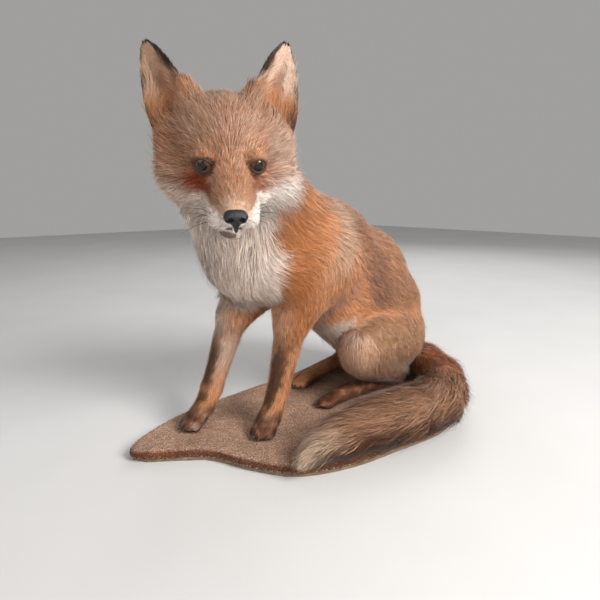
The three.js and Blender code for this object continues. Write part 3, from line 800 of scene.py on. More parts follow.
def foreleg_colour(points, normals):
    """Orange outside and pale inside, with a dark streak down the front of each leg."""
    x, _, z = points.T
    inner = np.where(x > 0, -normals[:, 0], normals[:, 0])
    wobble = noise(points * vec(1, 1, 0.35), 7, 9)
    speck = noise(points * vec(1, 1, 0.4), 2.6, 10)
    pale = ramp(inner + 0.3 * wobble, 0.0, 0.6) * ramp(z, 64, 120) * 0.8
    # The top of each foreleg's front is painted paler, most on the fox's right: painted light
    # where the chest shades it.
    top = ramp(z + 6 * wobble, 112, 160) * ramp(normals @ unit(vec(-0.3, -1, 0)), 0.35, 0.85)
    pale = np.maximum(pale, top * np.where(x > 0, 0.35, 0.9))
    tone = mix(LEG_ORANGE, LEG_PALE, pale)
    bearing = np.radians(np.where(
        x > 0, np.interp(z, [60, 150], [-80, -54]), np.interp(z, [70, 150], [-76, -88])
    ))
    toward = np.stack([np.cos(bearing), np.sin(bearing), 0 * bearing], axis=-1)
    front = dot(normals, toward) + 0.12 * wobble + 0.10 * speck
    streak = ramp(front, 0.66, 0.92) * ramp(z, 175, 120) * ramp(z, 40, 60)
    tone = mix(tone, LEG_DARK, streak * 0.92)
    blotch = noise(points, 5.5, 12)
    paw = mix(PAW, LEG_DARK, ramp(blotch, 0.0, 0.5) * 0.75)
    paw = mix(paw, LEG_PALE, ramp(blotch, -0.15, -0.5) * 0.5)
    return mix(tone, paw, ramp(z + 6 * wobble, 62, 40))


def foot_colour(points):
    """Dark hind feet with rufous flecks, painted brighter and more orange on the fox's right:
    painted light against the body's shadow over that foot.
    """
    flecks = ramp(noise(points, 6, 11), 0.0, 0.7) * 0.45
    return mix(HIND_FOOT, LEG_ORANGE, np.maximum(flecks, (points[:, 0] < 0) * 0.95))


PART_GROUPS = {
    "head": ("skull", "muzzle", "jaw", "throat", "cheek", "brow"),
    "tail": ("tail",),
    "foreleg": ("forearm", "paw"),
    "foot": ("foot", "shank"),
    "body": ("trunk", "belly", "neck", "chest", "shoulder", "thigh"),
}


def markings(points, normals, groups):
    """The coat's colour at each point. `groups` is the share of each group of parts there."""
    coats = {
        "head": head_colour(points),
        "tail": tail_colour(points, normals),
        "foreleg": foreleg_colour(points, normals),
        "foot": foot_colour(points),
        "body": body_colour(points, normals),
    }
    return sum(coats[name] * groups[name][:, None] for name in coats)


def ear_colour(share, b, front, points):
    """Black behind; pale inside with a rufous hollow, and a dark rim that is widest on the
    inner edge near the tip."""
    wobble = noise(points, 6, 13) * 0.12
    behind = mix(EAR_BASE, EAR_BLACK, ramp(share + wobble, 0.36, 0.58))
    hollow = ramp(np.abs(b + 0.1 + 0.5 * wobble), 0.5, 0.2) * ramp(share + wobble, 0.72, 0.5)
    # The fox's right ear is painted darker tan inside than the left: painted shade.
    on_right = head_coordinates(points)[:, 1] < 0
    within = mix(EAR_INSIDE, EAR_INSIDE_SHADED, on_right * 0.7)
    within = mix(within, EAR_HOLLOW, hollow * 0.8)
    within = mix(within, EAR_BASE, ramp(share + wobble, 0.3, 0.1))
    within = mix(within, EAR_BASE, ramp(b + wobble, -0.5, -0.75) * ramp(share, 0.55, 0.3))
    inner_rim = ramp(b + wobble, -0.58, -0.74) * ramp(share + wobble, 0.42, 0.58)
    outer_rim = ramp(b + wobble, 0.84, 0.95) * 0.8
    rim = np.maximum(np.maximum(inner_rim, outer_rim), ramp(share, 0.94, 0.97) * 0.9)
    return mix(mix(behind, within, (front > 0) * 1.0), EAR_BLACK, rim)


# ---------------------------------------------------------------- what grows where
@dataclass
class Hair:
    """How a part's hair grows: length for each mm of depth, width in mm, hairs for each
    square mm, the size of a lock in mm, how far locks close up, steps in a hair, and the
    share of hairs that stray."""

    slant: float
    width: float
    density: float
    lock: float
    pull: float
    steps: int
    stray: float = 0.035


HAIR = {
    "trunk": Hair(2.3, 0.62, 1.06, 3.4, 0.26, 2),
    "belly": Hair(2.4, 0.65, 0.80, 5, 0.25, 2),
    "neck": Hair(2.2, 0.62, 1.15, 5, 0.28, 2),
    "chest": Hair(2.3, 0.62, 1.0, 6, 0.38, 3, 0.07),
    "shoulder": Hair(2.2, 0.58, 1.18, 3.4, 0.26, 2),
    "thigh": Hair(2.4, 0.58, 1.12, 3.8, 0.40, 2, 0.07),
    "shank": Hair(2.2, 0.55, 1.10, 4.5, 0.35, 2),
    "foot": Hair(2.4, 0.48, 1.40, 3.5, 0.4, 2),
    "forearm": Hair(2.6, 0.48, 1.45, 3.0, 0.35, 2, 0.06),
    "paw": Hair(3.4, 0.5, 1.60, 4.5, 0.55, 2, 0.09),
    "tail": Hair(2.6, 0.7, 0.78, 6, 0.42, 3, 0.09),
    "skull": Hair(2.2, 0.45, 1.60, 3.5, 0.4, 2),
    "brow": Hair(1.9, 0.4, 2.0, 3, 0.4, 2),
    "muzzle": Hair(2.2, 0.36, 2.2, 2.5, 0.3, 2),
    "jaw": Hair(2.2, 0.42, 2.0, 3, 0.35, 2),
    "throat": Hair(2.4, 0.55, 1.05, 5, 0.38, 3, 0.10),
    "cheek": Hair(2.3, 0.5, 1.15, 4, 0.36, 3, 0.10),
}


def face_lie(points):
    """The way the hair points on the head: back from the nose, fanning out over the brow,
    down over the cheeks, and away from the eyes."""
    place = head_coordinates(points)
    ahead, left, above = place.T
    side = np.tanh(left / 6.0)
    out = np.abs(left)
    same = np.ones(len(points))
    fan = np.stack([-same, 0.95 * side * ramp(out, 0, 34), 0.35 * same], axis=-1)
    cheek = np.stack([-0.75 * same, 0.5 * side, -0.62 * same], axis=-1)
    muzzle = np.stack([-same, 0.1 * side, 0 * same], axis=-1)
    below = ramp(above, 2, -22) * ramp(out, 12, 30)
    lie = fan * (1 - below)[:, None] + cheek * below[:, None]
    under = ramp(above, -40, -56)
    lie = lie * (1 - under)[:, None] + vec(-0.6, 0, -0.8) * under[:, None]
    lie = mix(lie, muzzle, ramp(ahead, 4, 20) * (1 - under))
    up_ear = np.stack([-0.3 * same, 0.5 * side, same], axis=-1)
    lie = mix(lie, up_ear, ramp(above, 24, 42) * ramp(out, 12, 28))
    world = lie @ HEAD_AXES
    for eye_side in (LEFT, RIGHT):
        away = points - eye_centre(eye_side)
        nearness = ramp(np.linalg.norm(away, axis=-1), 27, 14)
        world = world + unit(away) * (nearness * 1.6)[:, None]
    return unit(world)


def describe(points):
    """For each point: the coat's depth, the way the hair points, the share of each group of
    parts, and the nearest mass."""
    count = len(points)
    distances = np.full((len(MASSES), count), FAR, np.float32)
    alongs = np.zeros((len(MASSES), count), np.float32)
    for i, mass in enumerate(MASSES):
        near = mass.near(points)
        distances[i, near], alongs[i, near] = mass.measure(points[near])
    nearest = distances.argmin(0)
    weights = np.exp(-(distances - distances.min(0)) / 5.0)
    weights /= weights.sum(0)
    depth = np.zeros(count)
    lie = np.zeros((count, 3))
    groups = {name: np.zeros(count) for name in PART_GROUPS}
    for i, mass in enumerate(MASSES):
        depth += weights[i] * (mass.coat[0] + (mass.coat[1] - mass.coat[0]) * alongs[i])
        if mass.part not in PART_GROUPS["head"]:
            lie += weights[i][:, None] * mass.lie
        for name, parts in PART_GROUPS.items():
            if mass.part in parts:
                groups[name] += weights[i]
    lie += face_lie(points) * groups["head"][:, None]
    return {"depth": depth, "lie": lie, "groups": groups, "nearest": nearest}


# ---------------------------------------------------------------- making meshes
def joined(parts):
    """Several surfaces as one set of points and triangles."""
    points, faces, used = [], [], 0
    for part_points, part_faces in parts:
        points.append(part_points)
        faces.append(part_faces + used)
        used += len(part_points)
    return np.concatenate(points), np.concatenate(faces)


def mesh_object(name, points, faces, smooth=True):
    """A mesh in metres from points in millimetres and triangles or quads."""
    faces = np.asarray(faces)
    corners = faces.shape[1]
    mesh = bpy.data.meshes.new(name)
    mesh.vertices.add(len(points))
    mesh.vertices.foreach_set("co", (np.asarray(points) * MM).astype(np.float32).ravel())
    mesh.loops.add(faces.size)
    mesh.loops.foreach_set("vertex_index", faces.astype(np.int32).ravel())
    mesh.polygons.add(len(faces))
    mesh.polygons.foreach_set("loop_start", np.arange(0, faces.size, corners, dtype=np.int32))
    mesh.polygons.foreach_set("use_smooth", np.full(len(faces), smooth))
    mesh.update(calc_edges=True)
    piece = bpy.data.objects.new(name, mesh)
    bpy.context.scene.collection.objects.link(piece)
    return piece


def paint(piece, colours):
    """Stores a colour at each point, for the material to read."""
    layer = piece.data.color_attributes.new("Markings", "FLOAT_COLOR", "POINT")
    opaque = np.ones((len(colours), 4), np.float32)
    opaque[:, :3] = np.clip(colours, 0.0, 1.0)
    layer.data.foreach_set("color", opaque.ravel())


def store(piece, name, values):
    layer = piece.data.attributes.new(name, "FLOAT", "POINT")
    layer.data.foreach_set("value", np.asarray(values, np.float32))


def finish_piece(piece, material, replaced=()):
    piece.data.materials.append(material)
    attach(piece, "root")
    if replaced:
        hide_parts(*replaced)


# ---------------------------------------------------------------- materials
class Material:
    """A node material with a Principled shader, and short ways to add nodes to it."""

    def __init__(self, name, roughness=0.6, **sockets):
        self.material = bpy.data.materials.new(name)
        self.material.use_nodes = True
        self.nodes = self.material.node_tree.nodes
        self.links = self.material.node_tree.links
        self.shader = self.nodes["Principled BSDF"]
        self.shader.inputs["Roughness"].default_value = roughness
        for socket, value in sockets.items():
            self.shader.inputs[socket.replace("_", " ")].default_value = value
        self.place = self.nodes.new("ShaderNodeTexCoord").outputs["Object"]

    def link(self, source, node, socket):
        self.links.new(source, node.inputs[socket])

    def attribute(self, name):
        node = self.nodes.new("ShaderNodeAttribute")
        node.attribute_name = name
        return node

    def noise(self, scale, detail=3.0, roughness=0.55):
        node = self.nodes.new("ShaderNodeTexNoise")
        node.inputs["Scale"].default_value = scale
        node.inputs["Detail"].default_value = detail
        node.inputs["Roughness"].default_value = roughness
        self.link(self.place, node, "Vector")
        return node.outputs["Fac"]

    def voronoi(self, scale):
        node = self.nodes.new("ShaderNodeTexVoronoi")
        node.inputs["Scale"].default_value = scale
        self.link(self.place, node, "Vector")
        return node

    def ramp(self, source, stops):
        node = self.nodes.new("ShaderNodeValToRGB")
        elements = node.color_ramp.elements
        while len(elements) < len(stops):
            elements.new(0.5)
        for element, (position, tone) in zip(elements, stops):
            element.position = position
            element.color = (*tone, 1.0)
        self.link(source, node, "Fac")
        return node.outputs["Color"]

    def times(self, first, second):
        """One colour multiplied by another."""
        node = self.nodes.new("ShaderNodeMix")
        node.data_type = "RGBA"
        node.blend_type = "MULTIPLY"
        node.inputs[0].default_value = 1.0
        self.links.new(first, node.inputs[6])
        self.links.new(second, node.inputs[7])
        return node.outputs[2]

    def bump(self, source, distance, strength=0.5):
        node = self.nodes.new("ShaderNodeBump")
        node.inputs["Distance"].default_value = distance
        node.inputs["Strength"].default_value = strength
        self.link(source, node, "Height")
        self.link(node.outputs["Normal"], self.shader, "Normal")

    def base(self, source):
        self.link(source, self.shader, "Base Color")

    def markings(self):
        return self.attribute("Markings").outputs["Color"]


def speckled(name, roughness, scale, dark, light, grain=None, **sockets):
    """A surface that wavers between two tones. `grain` is its bump's scale, depth, strength."""
    made = Material(name, roughness, **sockets)
    made.base(made.ramp(made.noise(scale), [(0.3, dark), (0.7, light)]))
    if grain:
        grain_scale, depth, strength = grain
        made.bump(made.noise(grain_scale), depth, strength)
    return made.material


def lid_material():
    return speckled("eyelid_rim", 0.5, 1200.0, (0.020, 0.013, 0.011), (0.070, 0.040, 0.030),
                    (2500.0, 0.0002, 0.5), Specular_IOR_Level=0.25)


def lip_material():
    return speckled("bare_lip", 0.5, 900.0, (0.07, 0.045, 0.04), (0.17, 0.11, 0.095),
                    (2000.0, 0.0003, 0.5))


def horn_material():
    return speckled("claw_horn", 0.55, 800.0, (0.02, 0.013, 0.01), (0.07, 0.05, 0.036),
                    (1500.0, 0.0003, 0.4), Specular_IOR_Level=0.3)


def whisker_material():
    return speckled("whisker_hair", 0.45, 300.0, (0.02, 0.013, 0.01), (0.07, 0.04, 0.03))


def floor_material():
    return speckled("pale_floor", 0.75, 3.0, (0.56, 0.56, 0.56), (0.60, 0.60, 0.60),
                    Specular_IOR_Level=0.2)


def marked(name, roughness, scale, dark, light, **sockets):
    """A surface that takes the markings, with a fine change of tone from place to place."""
    made = Material(name, roughness, **sockets)
    tone = made.ramp(made.noise(scale), [(0.3, dark), (0.7, light)])
    made.base(made.times(made.markings(), tone))
    return made.material


def coat_material():
    return marked("fox_coat", 0.62, 900.0, (0.8, 0.8, 0.8), (1.12, 1.1, 1.08),
                  Sheen_Weight=0.12, Sheen_Roughness=0.4, Specular_IOR_Level=0.3)


def grain_material():
    return marked("loose_sand_grains", 0.7, 2600.0, (0.75, 0.75, 0.75), (1.15, 1.12, 1.1),
                  Specular_IOR_Level=0.3)


def skin_material():
    """Darker than the coat over it, and rough like short underfur."""
    made = Material("skin_under_the_coat", 0.8, Specular_IOR_Level=0.2)
    grain = made.noise(700.0, 4.0)
    tone = made.ramp(grain, [(0.3, (0.55, 0.53, 0.5)), (0.7, (0.9, 0.88, 0.86))])
    made.base(made.times(made.markings(), tone))
    made.bump(grain, 0.0008, 0.7)
    return made.material


def nose_material():
    """Pebbled leather, black between the pebbles."""
    made = Material("nose_leather", 0.42, Specular_IOR_Level=0.4)
    pebbles = made.voronoi(1500.0).outputs["Distance"]
    made.base(made.ramp(pebbles, [(0.0, (0.030, 0.029, 0.031)), (0.8, (0.009, 0.008, 0.009))]))
    made.bump(pebbles, -0.0004, 0.6)
    return made.material


def eye_material():
    """Glass over a black pupil and a brown iris, by the angle from the gaze in radians."""
    made = Material(
        "glass_eye", 0.15, Coat_Weight=0.6, Coat_Roughness=0.06, Specular_IOR_Level=0.1
    )
    rings = made.ramp(made.attribute("gaze_angle").outputs["Fac"], [
        (0.0, (0.003, 0.002, 0.002)), (0.34, (0.004, 0.003, 0.002)),
        (0.46, (0.06, 0.022, 0.010)), (0.60, (0.15, 0.058, 0.028)),
        (0.74, (0.07, 0.026, 0.014)), (0.86, (0.012, 0.007, 0.005)),
    ])
    flecks = made.ramp(
        made.noise(1800.0, 5.0), [(0.35, (0.55, 0.5, 0.45)), (0.65, (1.25, 1.2, 1.15))]
    )
    made.base(made.times(rings, flecks))
    return made.material


def sand_material():
    """Grains of four tones, in darker and paler patches."""
    made = Material("glued_sand", 0.92, Specular_IOR_Level=0.15)
    grains = made.voronoi(900.0)
    tone = made.ramp(grains.outputs["Color"], [
        (0.1, (0.16, 0.094, 0.064)), (0.4, (0.26, 0.158, 0.110)),
        (0.7, (0.35, 0.232, 0.168)), (0.95, (0.52, 0.385, 0.292)),
    ])
    patches = made.ramp(
        made.noise(28.0, 4.0), [(0.3, (0.78, 0.75, 0.73)), (0.7, (1.32, 1.27, 1.25))]
    )
    # The markings darken the sand's side as painted shade.
    made.base(made.times(made.times(tone, patches), made.markings()))
    made.bump(grains.outputs["Distance"], 0.0009, 0.9)
    return made.material


def board_material():
    """Wood with its grain drawn out along the board."""
    made = Material("board_wood", 0.7)
    stretch = made.nodes.new("ShaderNodeMapping")
    stretch.inputs["Scale"].default_value = (1.0, 0.08, 1.0)
    made.link(made.place, stretch, "Vector")
    made.place = stretch.outputs["Vector"]
    grain = made.noise(220.0, 5.0, 0.5)
    made.base(made.ramp(grain, [(0.3, (0.10, 0.06, 0.035)), (0.7, (0.24, 0.16, 0.10))]))
    made.bump(grain, 0.0005, 0.5)
    return made.material


# ---------------------------------------------------------------- the skin
skin_points, skin_quads, skin_normals = skin_surface()
skin_triangles = np.concatenate([skin_quads[:, [0, 1, 2]], skin_quads[:, [0, 2, 3]]])
skin_facts = describe(skin_points)
skin_colours = markings(skin_points, skin_normals, skin_facts["groups"])


def build_skin():
    """The body and both ears as one piece that stands for every node of flesh."""
    surfaces, colours = [(skin_points, skin_triangles)], [skin_colours]
    for ear in EARS:
        points, faces, places = ear_surface(ear)
        surfaces.append((points, faces))
        colours.append(ear_colour(*places.T, points))
    piece = mesh_object("skin", *joined(surfaces))
    paint(piece, np.concatenate(colours))
    kept = ("base_board", "base_sand", "nose", "eye_left", "eye_right")
    flesh = [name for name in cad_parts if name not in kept]
    finish_piece(piece, skin_material(), sorted(flesh))


build_skin()


# ---------------------------------------------------------------- combing
class DistanceGrid:
    """The skin's distance and outward direction on an even grid, read between samples."""

    STEP = 4.0
    MARGIN = 36.0

    def __init__(self):
        self.low = skin_points.min(0) - self.MARGIN
        counts = np.ceil((skin_points.max(0) + self.MARGIN - self.low) / self.STEP).astype(int) + 1
        axes = [self.low[i] + self.STEP * np.arange(counts[i]) for i in range(3)]
        field = skin_distance(grid(axes))
        slopes = np.gradient(field, self.STEP)
        self.samples = np.stack([field, *slopes], axis=-1).astype(np.float32)
        self.last = np.array(field.shape) - 2

    def read(self, points):
        scaled = (points - self.low) / self.STEP
        cell = np.clip(np.floor(scaled).astype(int), 0, self.last)
        share = np.clip(scaled - cell, 0.0, 1.0)
        total = 0.0
        for corner in np.ndindex(2, 2, 2):
            weight = np.prod(np.where(corner, share, 1.0 - share), axis=-1)
            i, j, k = (cell + corner).T
            total = total + weight[:, None] * self.samples[i, j, k]
        slope = np.linalg.norm(total[:, 1:], axis=-1)
        return total[:, 0] / np.maximum(slope, 0.3), unit(total[:, 1:])


skin_grid = DistanceGrid()


def comb(roots, headings, lengths, heights, steps):
    """Lays each hair over the skin: its nodes walk along the heading, held at their height."""
    place, heading = roots, headings
    nodes = [roots]
    for step in range(1, steps + 1):
        share = step / steps
        place = place + heading * (lengths / steps)[:, None]
        distance, out = skin_grid.read(place)
        place = place + out * np.clip(heights * share * (2 - share) - distance, -5, 7)[:, None]
        heading = unit(heading - out * dot(heading, out)[:, None])
        nodes.append(place)
    return np.stack(nodes, axis=1)


def locks_of(roots, size, salt):
    """The lock each root belongs to: its middle, and a repeatable whole-number name."""
    cell = np.floor(roots / size)
    best = np.full(len(roots), 1e9)
    middle = np.zeros_like(roots)
    name = np.zeros_like(cell)
    for offset in np.ndindex(3, 3, 3):
        other = cell + np.array(offset) - 1
        jitter = np.stack([hashed(other, salt + i) for i in range(3)], axis=-1)
        centre = (other + jitter) * size
        distance = dot(centre - roots, centre - roots)
        closer = distance < best
        best = np.where(closer, distance, best)
        middle = np.where(closer[:, None], centre, middle)
        name = np.where(closer[:, None], other, name)
    return middle, name


def turned(vectors, axes, angles):
    """Vectors turned about unit axes that they're square to."""
    return vectors * np.cos(angles)[:, None] + np.cross(axes, vectors) * np.sin(angles)[:, None]


# ---------------------------------------------------------------- blades
# The share of its width a blade has at each row before its tip, for two and three steps.
BLADE_WIDTHS = {2: (0.85, 0.8), 3: (0.8, 1.0, 0.7)}
PATCH = 0.003  # the size of one hair's patch on the baking map
ROOT_SHADE = 0.84  # how dark a hair is at its root
GUARD_SHARE = 0.14  # the share of hairs that are wider, and darker or paler
GUARD_WIDTH = 1.5
GUARD_TONES = (0.7, 1.28)
LIFT = 0.35  # how steeply a hair leaves the skin


def blades(nodes, normals, widths, colours, patches):
    """Flat tapered blades along rows of nodes: points, faces, colours, normals and map."""
    count, steps = len(nodes), nodes.shape[1] - 1
    profile = BLADE_WIDTHS[steps]
    ahead = unit(nodes[:, 1:] - nodes[:, :-1])
    roll = rng.uniform(-0.7, 0.7, count)
    points, shades, map_points, facings = [], [], [], []
    for row in range(steps):
        aside = unit(np.cross(ahead[:, row], normals))
        aside = turned(aside, ahead[:, row], roll)
        half = (widths * profile[row] / 2)[:, None]
        share = row / steps
        for sign in (-1, 1):
            points.append(nodes[:, row] + aside * half * sign)
            shades.append(colours * (ROOT_SHADE + (1.0 - ROOT_SHADE) * share))
            map_points.append(patches + PATCH * np.array([sign * 0.5, share - 0.5]))
            facings.append(normals)
    points.append(nodes[:, -1])
    shades.append(colours * 1.08)
    map_points.append(patches + PATCH * np.array([0.0, 0.5]))
    facings.append(unit(normals + 0.6 * ahead[:, -1]))
    each = 2 * steps + 1
    first = np.arange(count)[:, None] * each
    pattern = []
    for row in range(steps - 1):
        a = 2 * row
        pattern += [(a, a + 1, a + 3), (a, a + 3, a + 2)]
    pattern.append((2 * steps - 2, 2 * steps - 1, 2 * steps))
    faces = (first[:, None, :] + np.array(pattern)[None]).reshape(-1, 3)
    points, shades, facings, map_points = (
        np.stack(rows, axis=1).reshape(count * each, -1)
        for rows in (points, shades, facings, map_points)
    )
    return points, faces, shades, facings, map_points


def build_coat(name, material, batches):
    """One named piece of coat, joined from batches of blades."""
    points, faces = joined([batch[:2] for batch in batches])
    colours, normals, patches = (np.concatenate(rows) for rows in list(zip(*batches))[2:])
    points[:, 2] = np.maximum(points[:, 2], SAND_TOP + 0.5)
    piece = mesh_object(name, points, faces)
    paint(piece, colours)
    layer = piece.data.uv_layers.new(name="OFBake")
    layer.data.foreach_set("uv", patches[faces.ravel()].astype(np.float32).ravel())
    piece.data.normals_split_custom_set_from_vertices(normals.astype(np.float32))
    finish_piece(piece, material)


# ---------------------------------------------------------------- growing the coats
BOTH = 0
# Each piece of coat: its slot, the parts it covers, and the side of the body it is on.
COATS = {
    "coat_muzzle": ("fur_tan", ("muzzle", "brow"), BOTH),
    "coat_crown": ("fur_rufous", ("skull",), BOTH),
    "coat_cheeks": ("fur_cream", ("cheek", "jaw", "throat"), BOTH),
    "coat_neck": ("fur_rufous", ("neck",), BOTH),
    "coat_chest": ("fur_cream", ("chest",), BOTH),
    "coat_trunk_left": ("fur_rufous", ("trunk", "belly"), LEFT),
    "coat_trunk_right": ("fur_rufous", ("trunk", "belly"), RIGHT),
    "coat_shoulders": ("fur_rufous", ("shoulder",), BOTH),
    "coat_forelegs": ("fur_rufous", ("forearm", "paw"), BOTH),
    "coat_thighs": ("fur_tan", ("thigh",), BOTH),
    "coat_hind_feet": ("fur_dark", ("shank", "foot"), BOTH),
    "coat_tail": ("fur_tan", ("tail",), BOTH),
}


UNWRAP_GAP = 0.05  # the empty share of a cell on each side of its patch


def mass_unwrap(points, nearest):
    """An unwrap of the skin: a cell for each mass, along its axis and round it."""
    cells = int(np.ceil(np.sqrt(len(MASSES))))
    patches = np.zeros((len(points), 2))
    for i, mass in enumerate(MASSES):
        mine = nearest == i
        if not mine.any():
            continue
        axis = unit(mass.end - mass.start)
        zero = unit(np.cross(axis, X_AXIS if abs(axis[0]) < 0.8 else Y_AXIS))
        reach = points[mine] - mass.start
        turn = np.arctan2(reach @ np.cross(axis, zero), reach @ zero) / (2 * np.pi) + 0.5
        length = np.linalg.norm(mass.end - mass.start)
        margin = max(mass.radii)
        run = (np.clip(reach @ axis, -margin, length + margin) + margin) / (length + 2 * margin)
        row, column = divmod(i, cells)
        within_cell = UNWRAP_GAP + (1 - 2 * UNWRAP_GAP) * np.stack([run, turn], axis=-1)
        patches[mine] = (vec(column, row) + within_cell) / cells
    return patches


def scatter_roots():
    """Roots spread over the skin, thick or thin as each part's hair grows."""
    a, b, c = (skin_points[skin_triangles[:, i]] for i in range(3))
    area = np.linalg.norm(np.cross(b - a, c - a), axis=-1) / 2
    by_mass = np.array([HAIR[mass.part].density for mass in MASSES])
    density = by_mass[skin_facts["nearest"][skin_triangles[:, 0]]]
    resting = a[:, 2] < REST_PLANE + 0.4
    running = np.cumsum(area * density * np.where(resting, 0.0, 1.0))
    count = int(running[-1])
    picked = np.searchsorted(running, (np.arange(count) + rng.random(count)) * running[-1] / count)
    picked = np.minimum(picked, len(area) - 1)
    u, v = rng.random(count), rng.random(count)
    folded = u + v > 1
    u, v = np.where(folded, 1 - u, u), np.where(folded, 1 - v, v)
    return a[picked] + u[:, None] * (b - a)[picked] + v[:, None] * (c - a)[picked]


def hair_colours(base, lock_names, groups, count):
    """Markings with lighter and darker locks and hairs, grizzled on the head and back."""
    lock_tone = 0.83 + 0.34 * hashed(lock_names, 21)
    hair_tone = rng.uniform(0.76, 1.24, count)
    colours = base * (lock_tone * hair_tone)[:, None]
    pick = rng.random(count)
    grizzle = np.clip(groups["head"] + groups["body"] * 0.8 + groups["tail"], 0, 1)
    grizzle *= ramp(base[:, 2], 0.02, 0.09)
    pale = (pick < 0.14 + 0.14 * groups["head"]) * grizzle
    dark = (pick > 0.90) * grizzle
    colours = mix(colours, colours * 0.55 + CREAM * 0.5, pale * 0.65)
    return colours * (1 - 0.5 * dark)[:, None]


def clear_of_eyes(nodes):
    """Which hairs stay out of both eyelid openings."""
    clear = np.ones(len(nodes), bool)
    for side in (LEFT, RIGHT):
        inside = opening_distance(nodes.reshape(-1, 3), side).reshape(nodes.shape[:2]) < 0.3
        clear &= ~inside.any(axis=1)
    return clear


def clear_of_mouth(nodes):
    """Which hairs leave the front of the mouth's line and the bare lip in sight."""
    place = head_coordinates(nodes)
    ahead, left, above = np.moveaxis(place, -1, 0)
    open_share = ramp(ahead, 40, 52) * ramp(left, 26, 14)
    near = np.abs(above - lip_height(ahead)) < 1.3 * open_share
    return ~near.any(axis=1) & (lip_skin(place) > 1.0).all(axis=1)


def clear_of_nose(nodes):
    """Which hairs stay out of the nose pad."""
    inside = ellipsoid(nodes.reshape(-1, 3), *NOSE_CLEARANCE) < -0.2
    return ~inside.reshape(nodes.shape[:2]).any(axis=1)


def grow_part(part, roots, normals, facts):
    """The blades of one part's hair."""
    hair = HAIR[part]
    count = len(roots)
    middles, names = locks_of(roots, hair.lock, 31)
    tangent = unit(facts["lie"] - normals * dot(facts["lie"], normals)[:, None])
    sway = noise(roots, hair.lock * 4, 41) * 0.25 + (hashed(names, 43) - 0.5) * 0.4
    sway = sway + rng.normal(0, 0.14, count)
    headings = turned(tangent, normals, sway)
    stray = rng.random(count) < hair.stray
    depth = facts["depth"]
    from_eyes = [np.linalg.norm(roots - eye_centre(side), axis=-1) for side in (LEFT, RIGHT)]
    depth = depth * (0.35 + 0.65 * ramp(np.minimum(*from_eyes), 13, 26))
    lengths = depth * hair.slant * rng.uniform(0.72, 1.12, count)
    lengths = lengths * (0.85 + 0.3 * hashed(names, 45)) * np.where(stray, 1.3, 1.0)
    heights = depth * rng.uniform(0.5, 1.05, count)
    heights = heights * (0.82 + 0.18 * hashed(names, 47)) * np.where(stray, 1.5, 1.0)
    nodes = comb(roots, unit(headings + LIFT * normals), lengths, heights, hair.steps)
    gather = middles - roots
    gather -= normals * dot(gather, normals)[:, None]
    for row in range(1, hair.steps + 1):
        nodes[:, row] += gather * hair.pull * (row / hair.steps) ** 1.5
    guard = rng.random(count) < GUARD_SHARE
    widths = hair.width * rng.uniform(0.75, 1.2, count) * np.where(stray, 0.5, 1.0)
    widths = np.where(guard, widths * GUARD_WIDTH, widths)
    base = markings(roots, normals, facts["groups"])
    colours = hair_colours(base, names, facts["groups"], count)
    colours = colours * np.where(guard, rng.choice(GUARD_TONES, count), 1.0)[:, None]
    patches = mass_unwrap(roots, facts["nearest"])
    keep = np.ones(count, bool)
    if part in PART_GROUPS["head"]:
        keep = clear_of_eyes(nodes) & clear_of_nose(nodes) & clear_of_mouth(nodes)
    return blades(*(values[keep] for values in (nodes, normals, widths, colours, patches)))


def chosen(facts, picked):
    """The facts of the picked points only."""
    some = {key: value[picked] for key, value in facts.items() if key != "groups"}
    some["groups"] = {name: share[picked] for name, share in facts["groups"].items()}
    return some


def build_coats():
    """Every piece of coat, part by part, from one set of roots."""
    roots = scatter_roots()
    facts = describe(roots)
    _, normals = skin_grid.read(roots)
    parts = np.array([mass.part for mass in MASSES])[facts["nearest"]]
    material = coat_material()
    for name, (slot, members, side) in COATS.items():
        batches = []
        for part in members:
            picked = (parts == part) & (side * roots[:, 0] >= 0)
            some = chosen(facts, picked)
            batches.append(grow_part(part, roots[picked], normals[picked], some))
        build_coat(name, material, batches)
    batches = [blades(*ear_batch(ear, *batch)) for ear in EARS for batch in EAR_HAIR]
    build_coat("coat_ears", material, batches)


# ---------------------------------------------------------------- hair on the ears
def ear_batch(ear, count, front, low, high, edge, length, width, lean):
    """Hairs on one face of an ear. `edge` keeps them near its rims, and `lean` turns them
    from straight up the ear towards its middle."""
    share = rng.uniform(low, high, count)
    b = rng.uniform(-0.97, 0.97, count)
    b = np.sign(b) * np.maximum(np.abs(b), edge)
    fronts = np.full(count, float(front))
    roots = ear.point(share, b, fronts)
    normals = ear.normal(share, b, fronts)
    up = ear.axis - normals * dot(ear.axis, normals)[..., None]
    aside = ear.across * -np.sign(b)[:, None]
    headings = unit(unit(up) + aside * lean * rng.uniform(0.3, 1.2, count)[:, None])
    headings = turned(headings, normals, rng.normal(0, 0.16, count))
    lengths = length * rng.uniform(0.6, 1.15, count) * (1.0 - 0.45 * share)
    rise = rng.uniform(0.12, 0.42, count)
    mid = roots + headings * (lengths * 0.5)[:, None] + normals * (lengths * rise * 0.5)[:, None]
    tip = roots + headings * lengths[:, None] + normals * (lengths * rise * 0.8)[:, None]
    nodes = np.stack([roots, mid, tip], axis=1)
    colours = ear_colour(share, b, fronts, roots) * rng.uniform(0.8, 1.2, count)[:, None]
    cell = 0.5 * np.array([ear.side < 0, front < 0])
    patches = np.stack([share, b * 0.5 + 0.5], axis=-1) * 0.45 + 0.025 + cell
    widths = width * rng.uniform(0.7, 1.2, count)
    return nodes, normals, widths, colours, patches


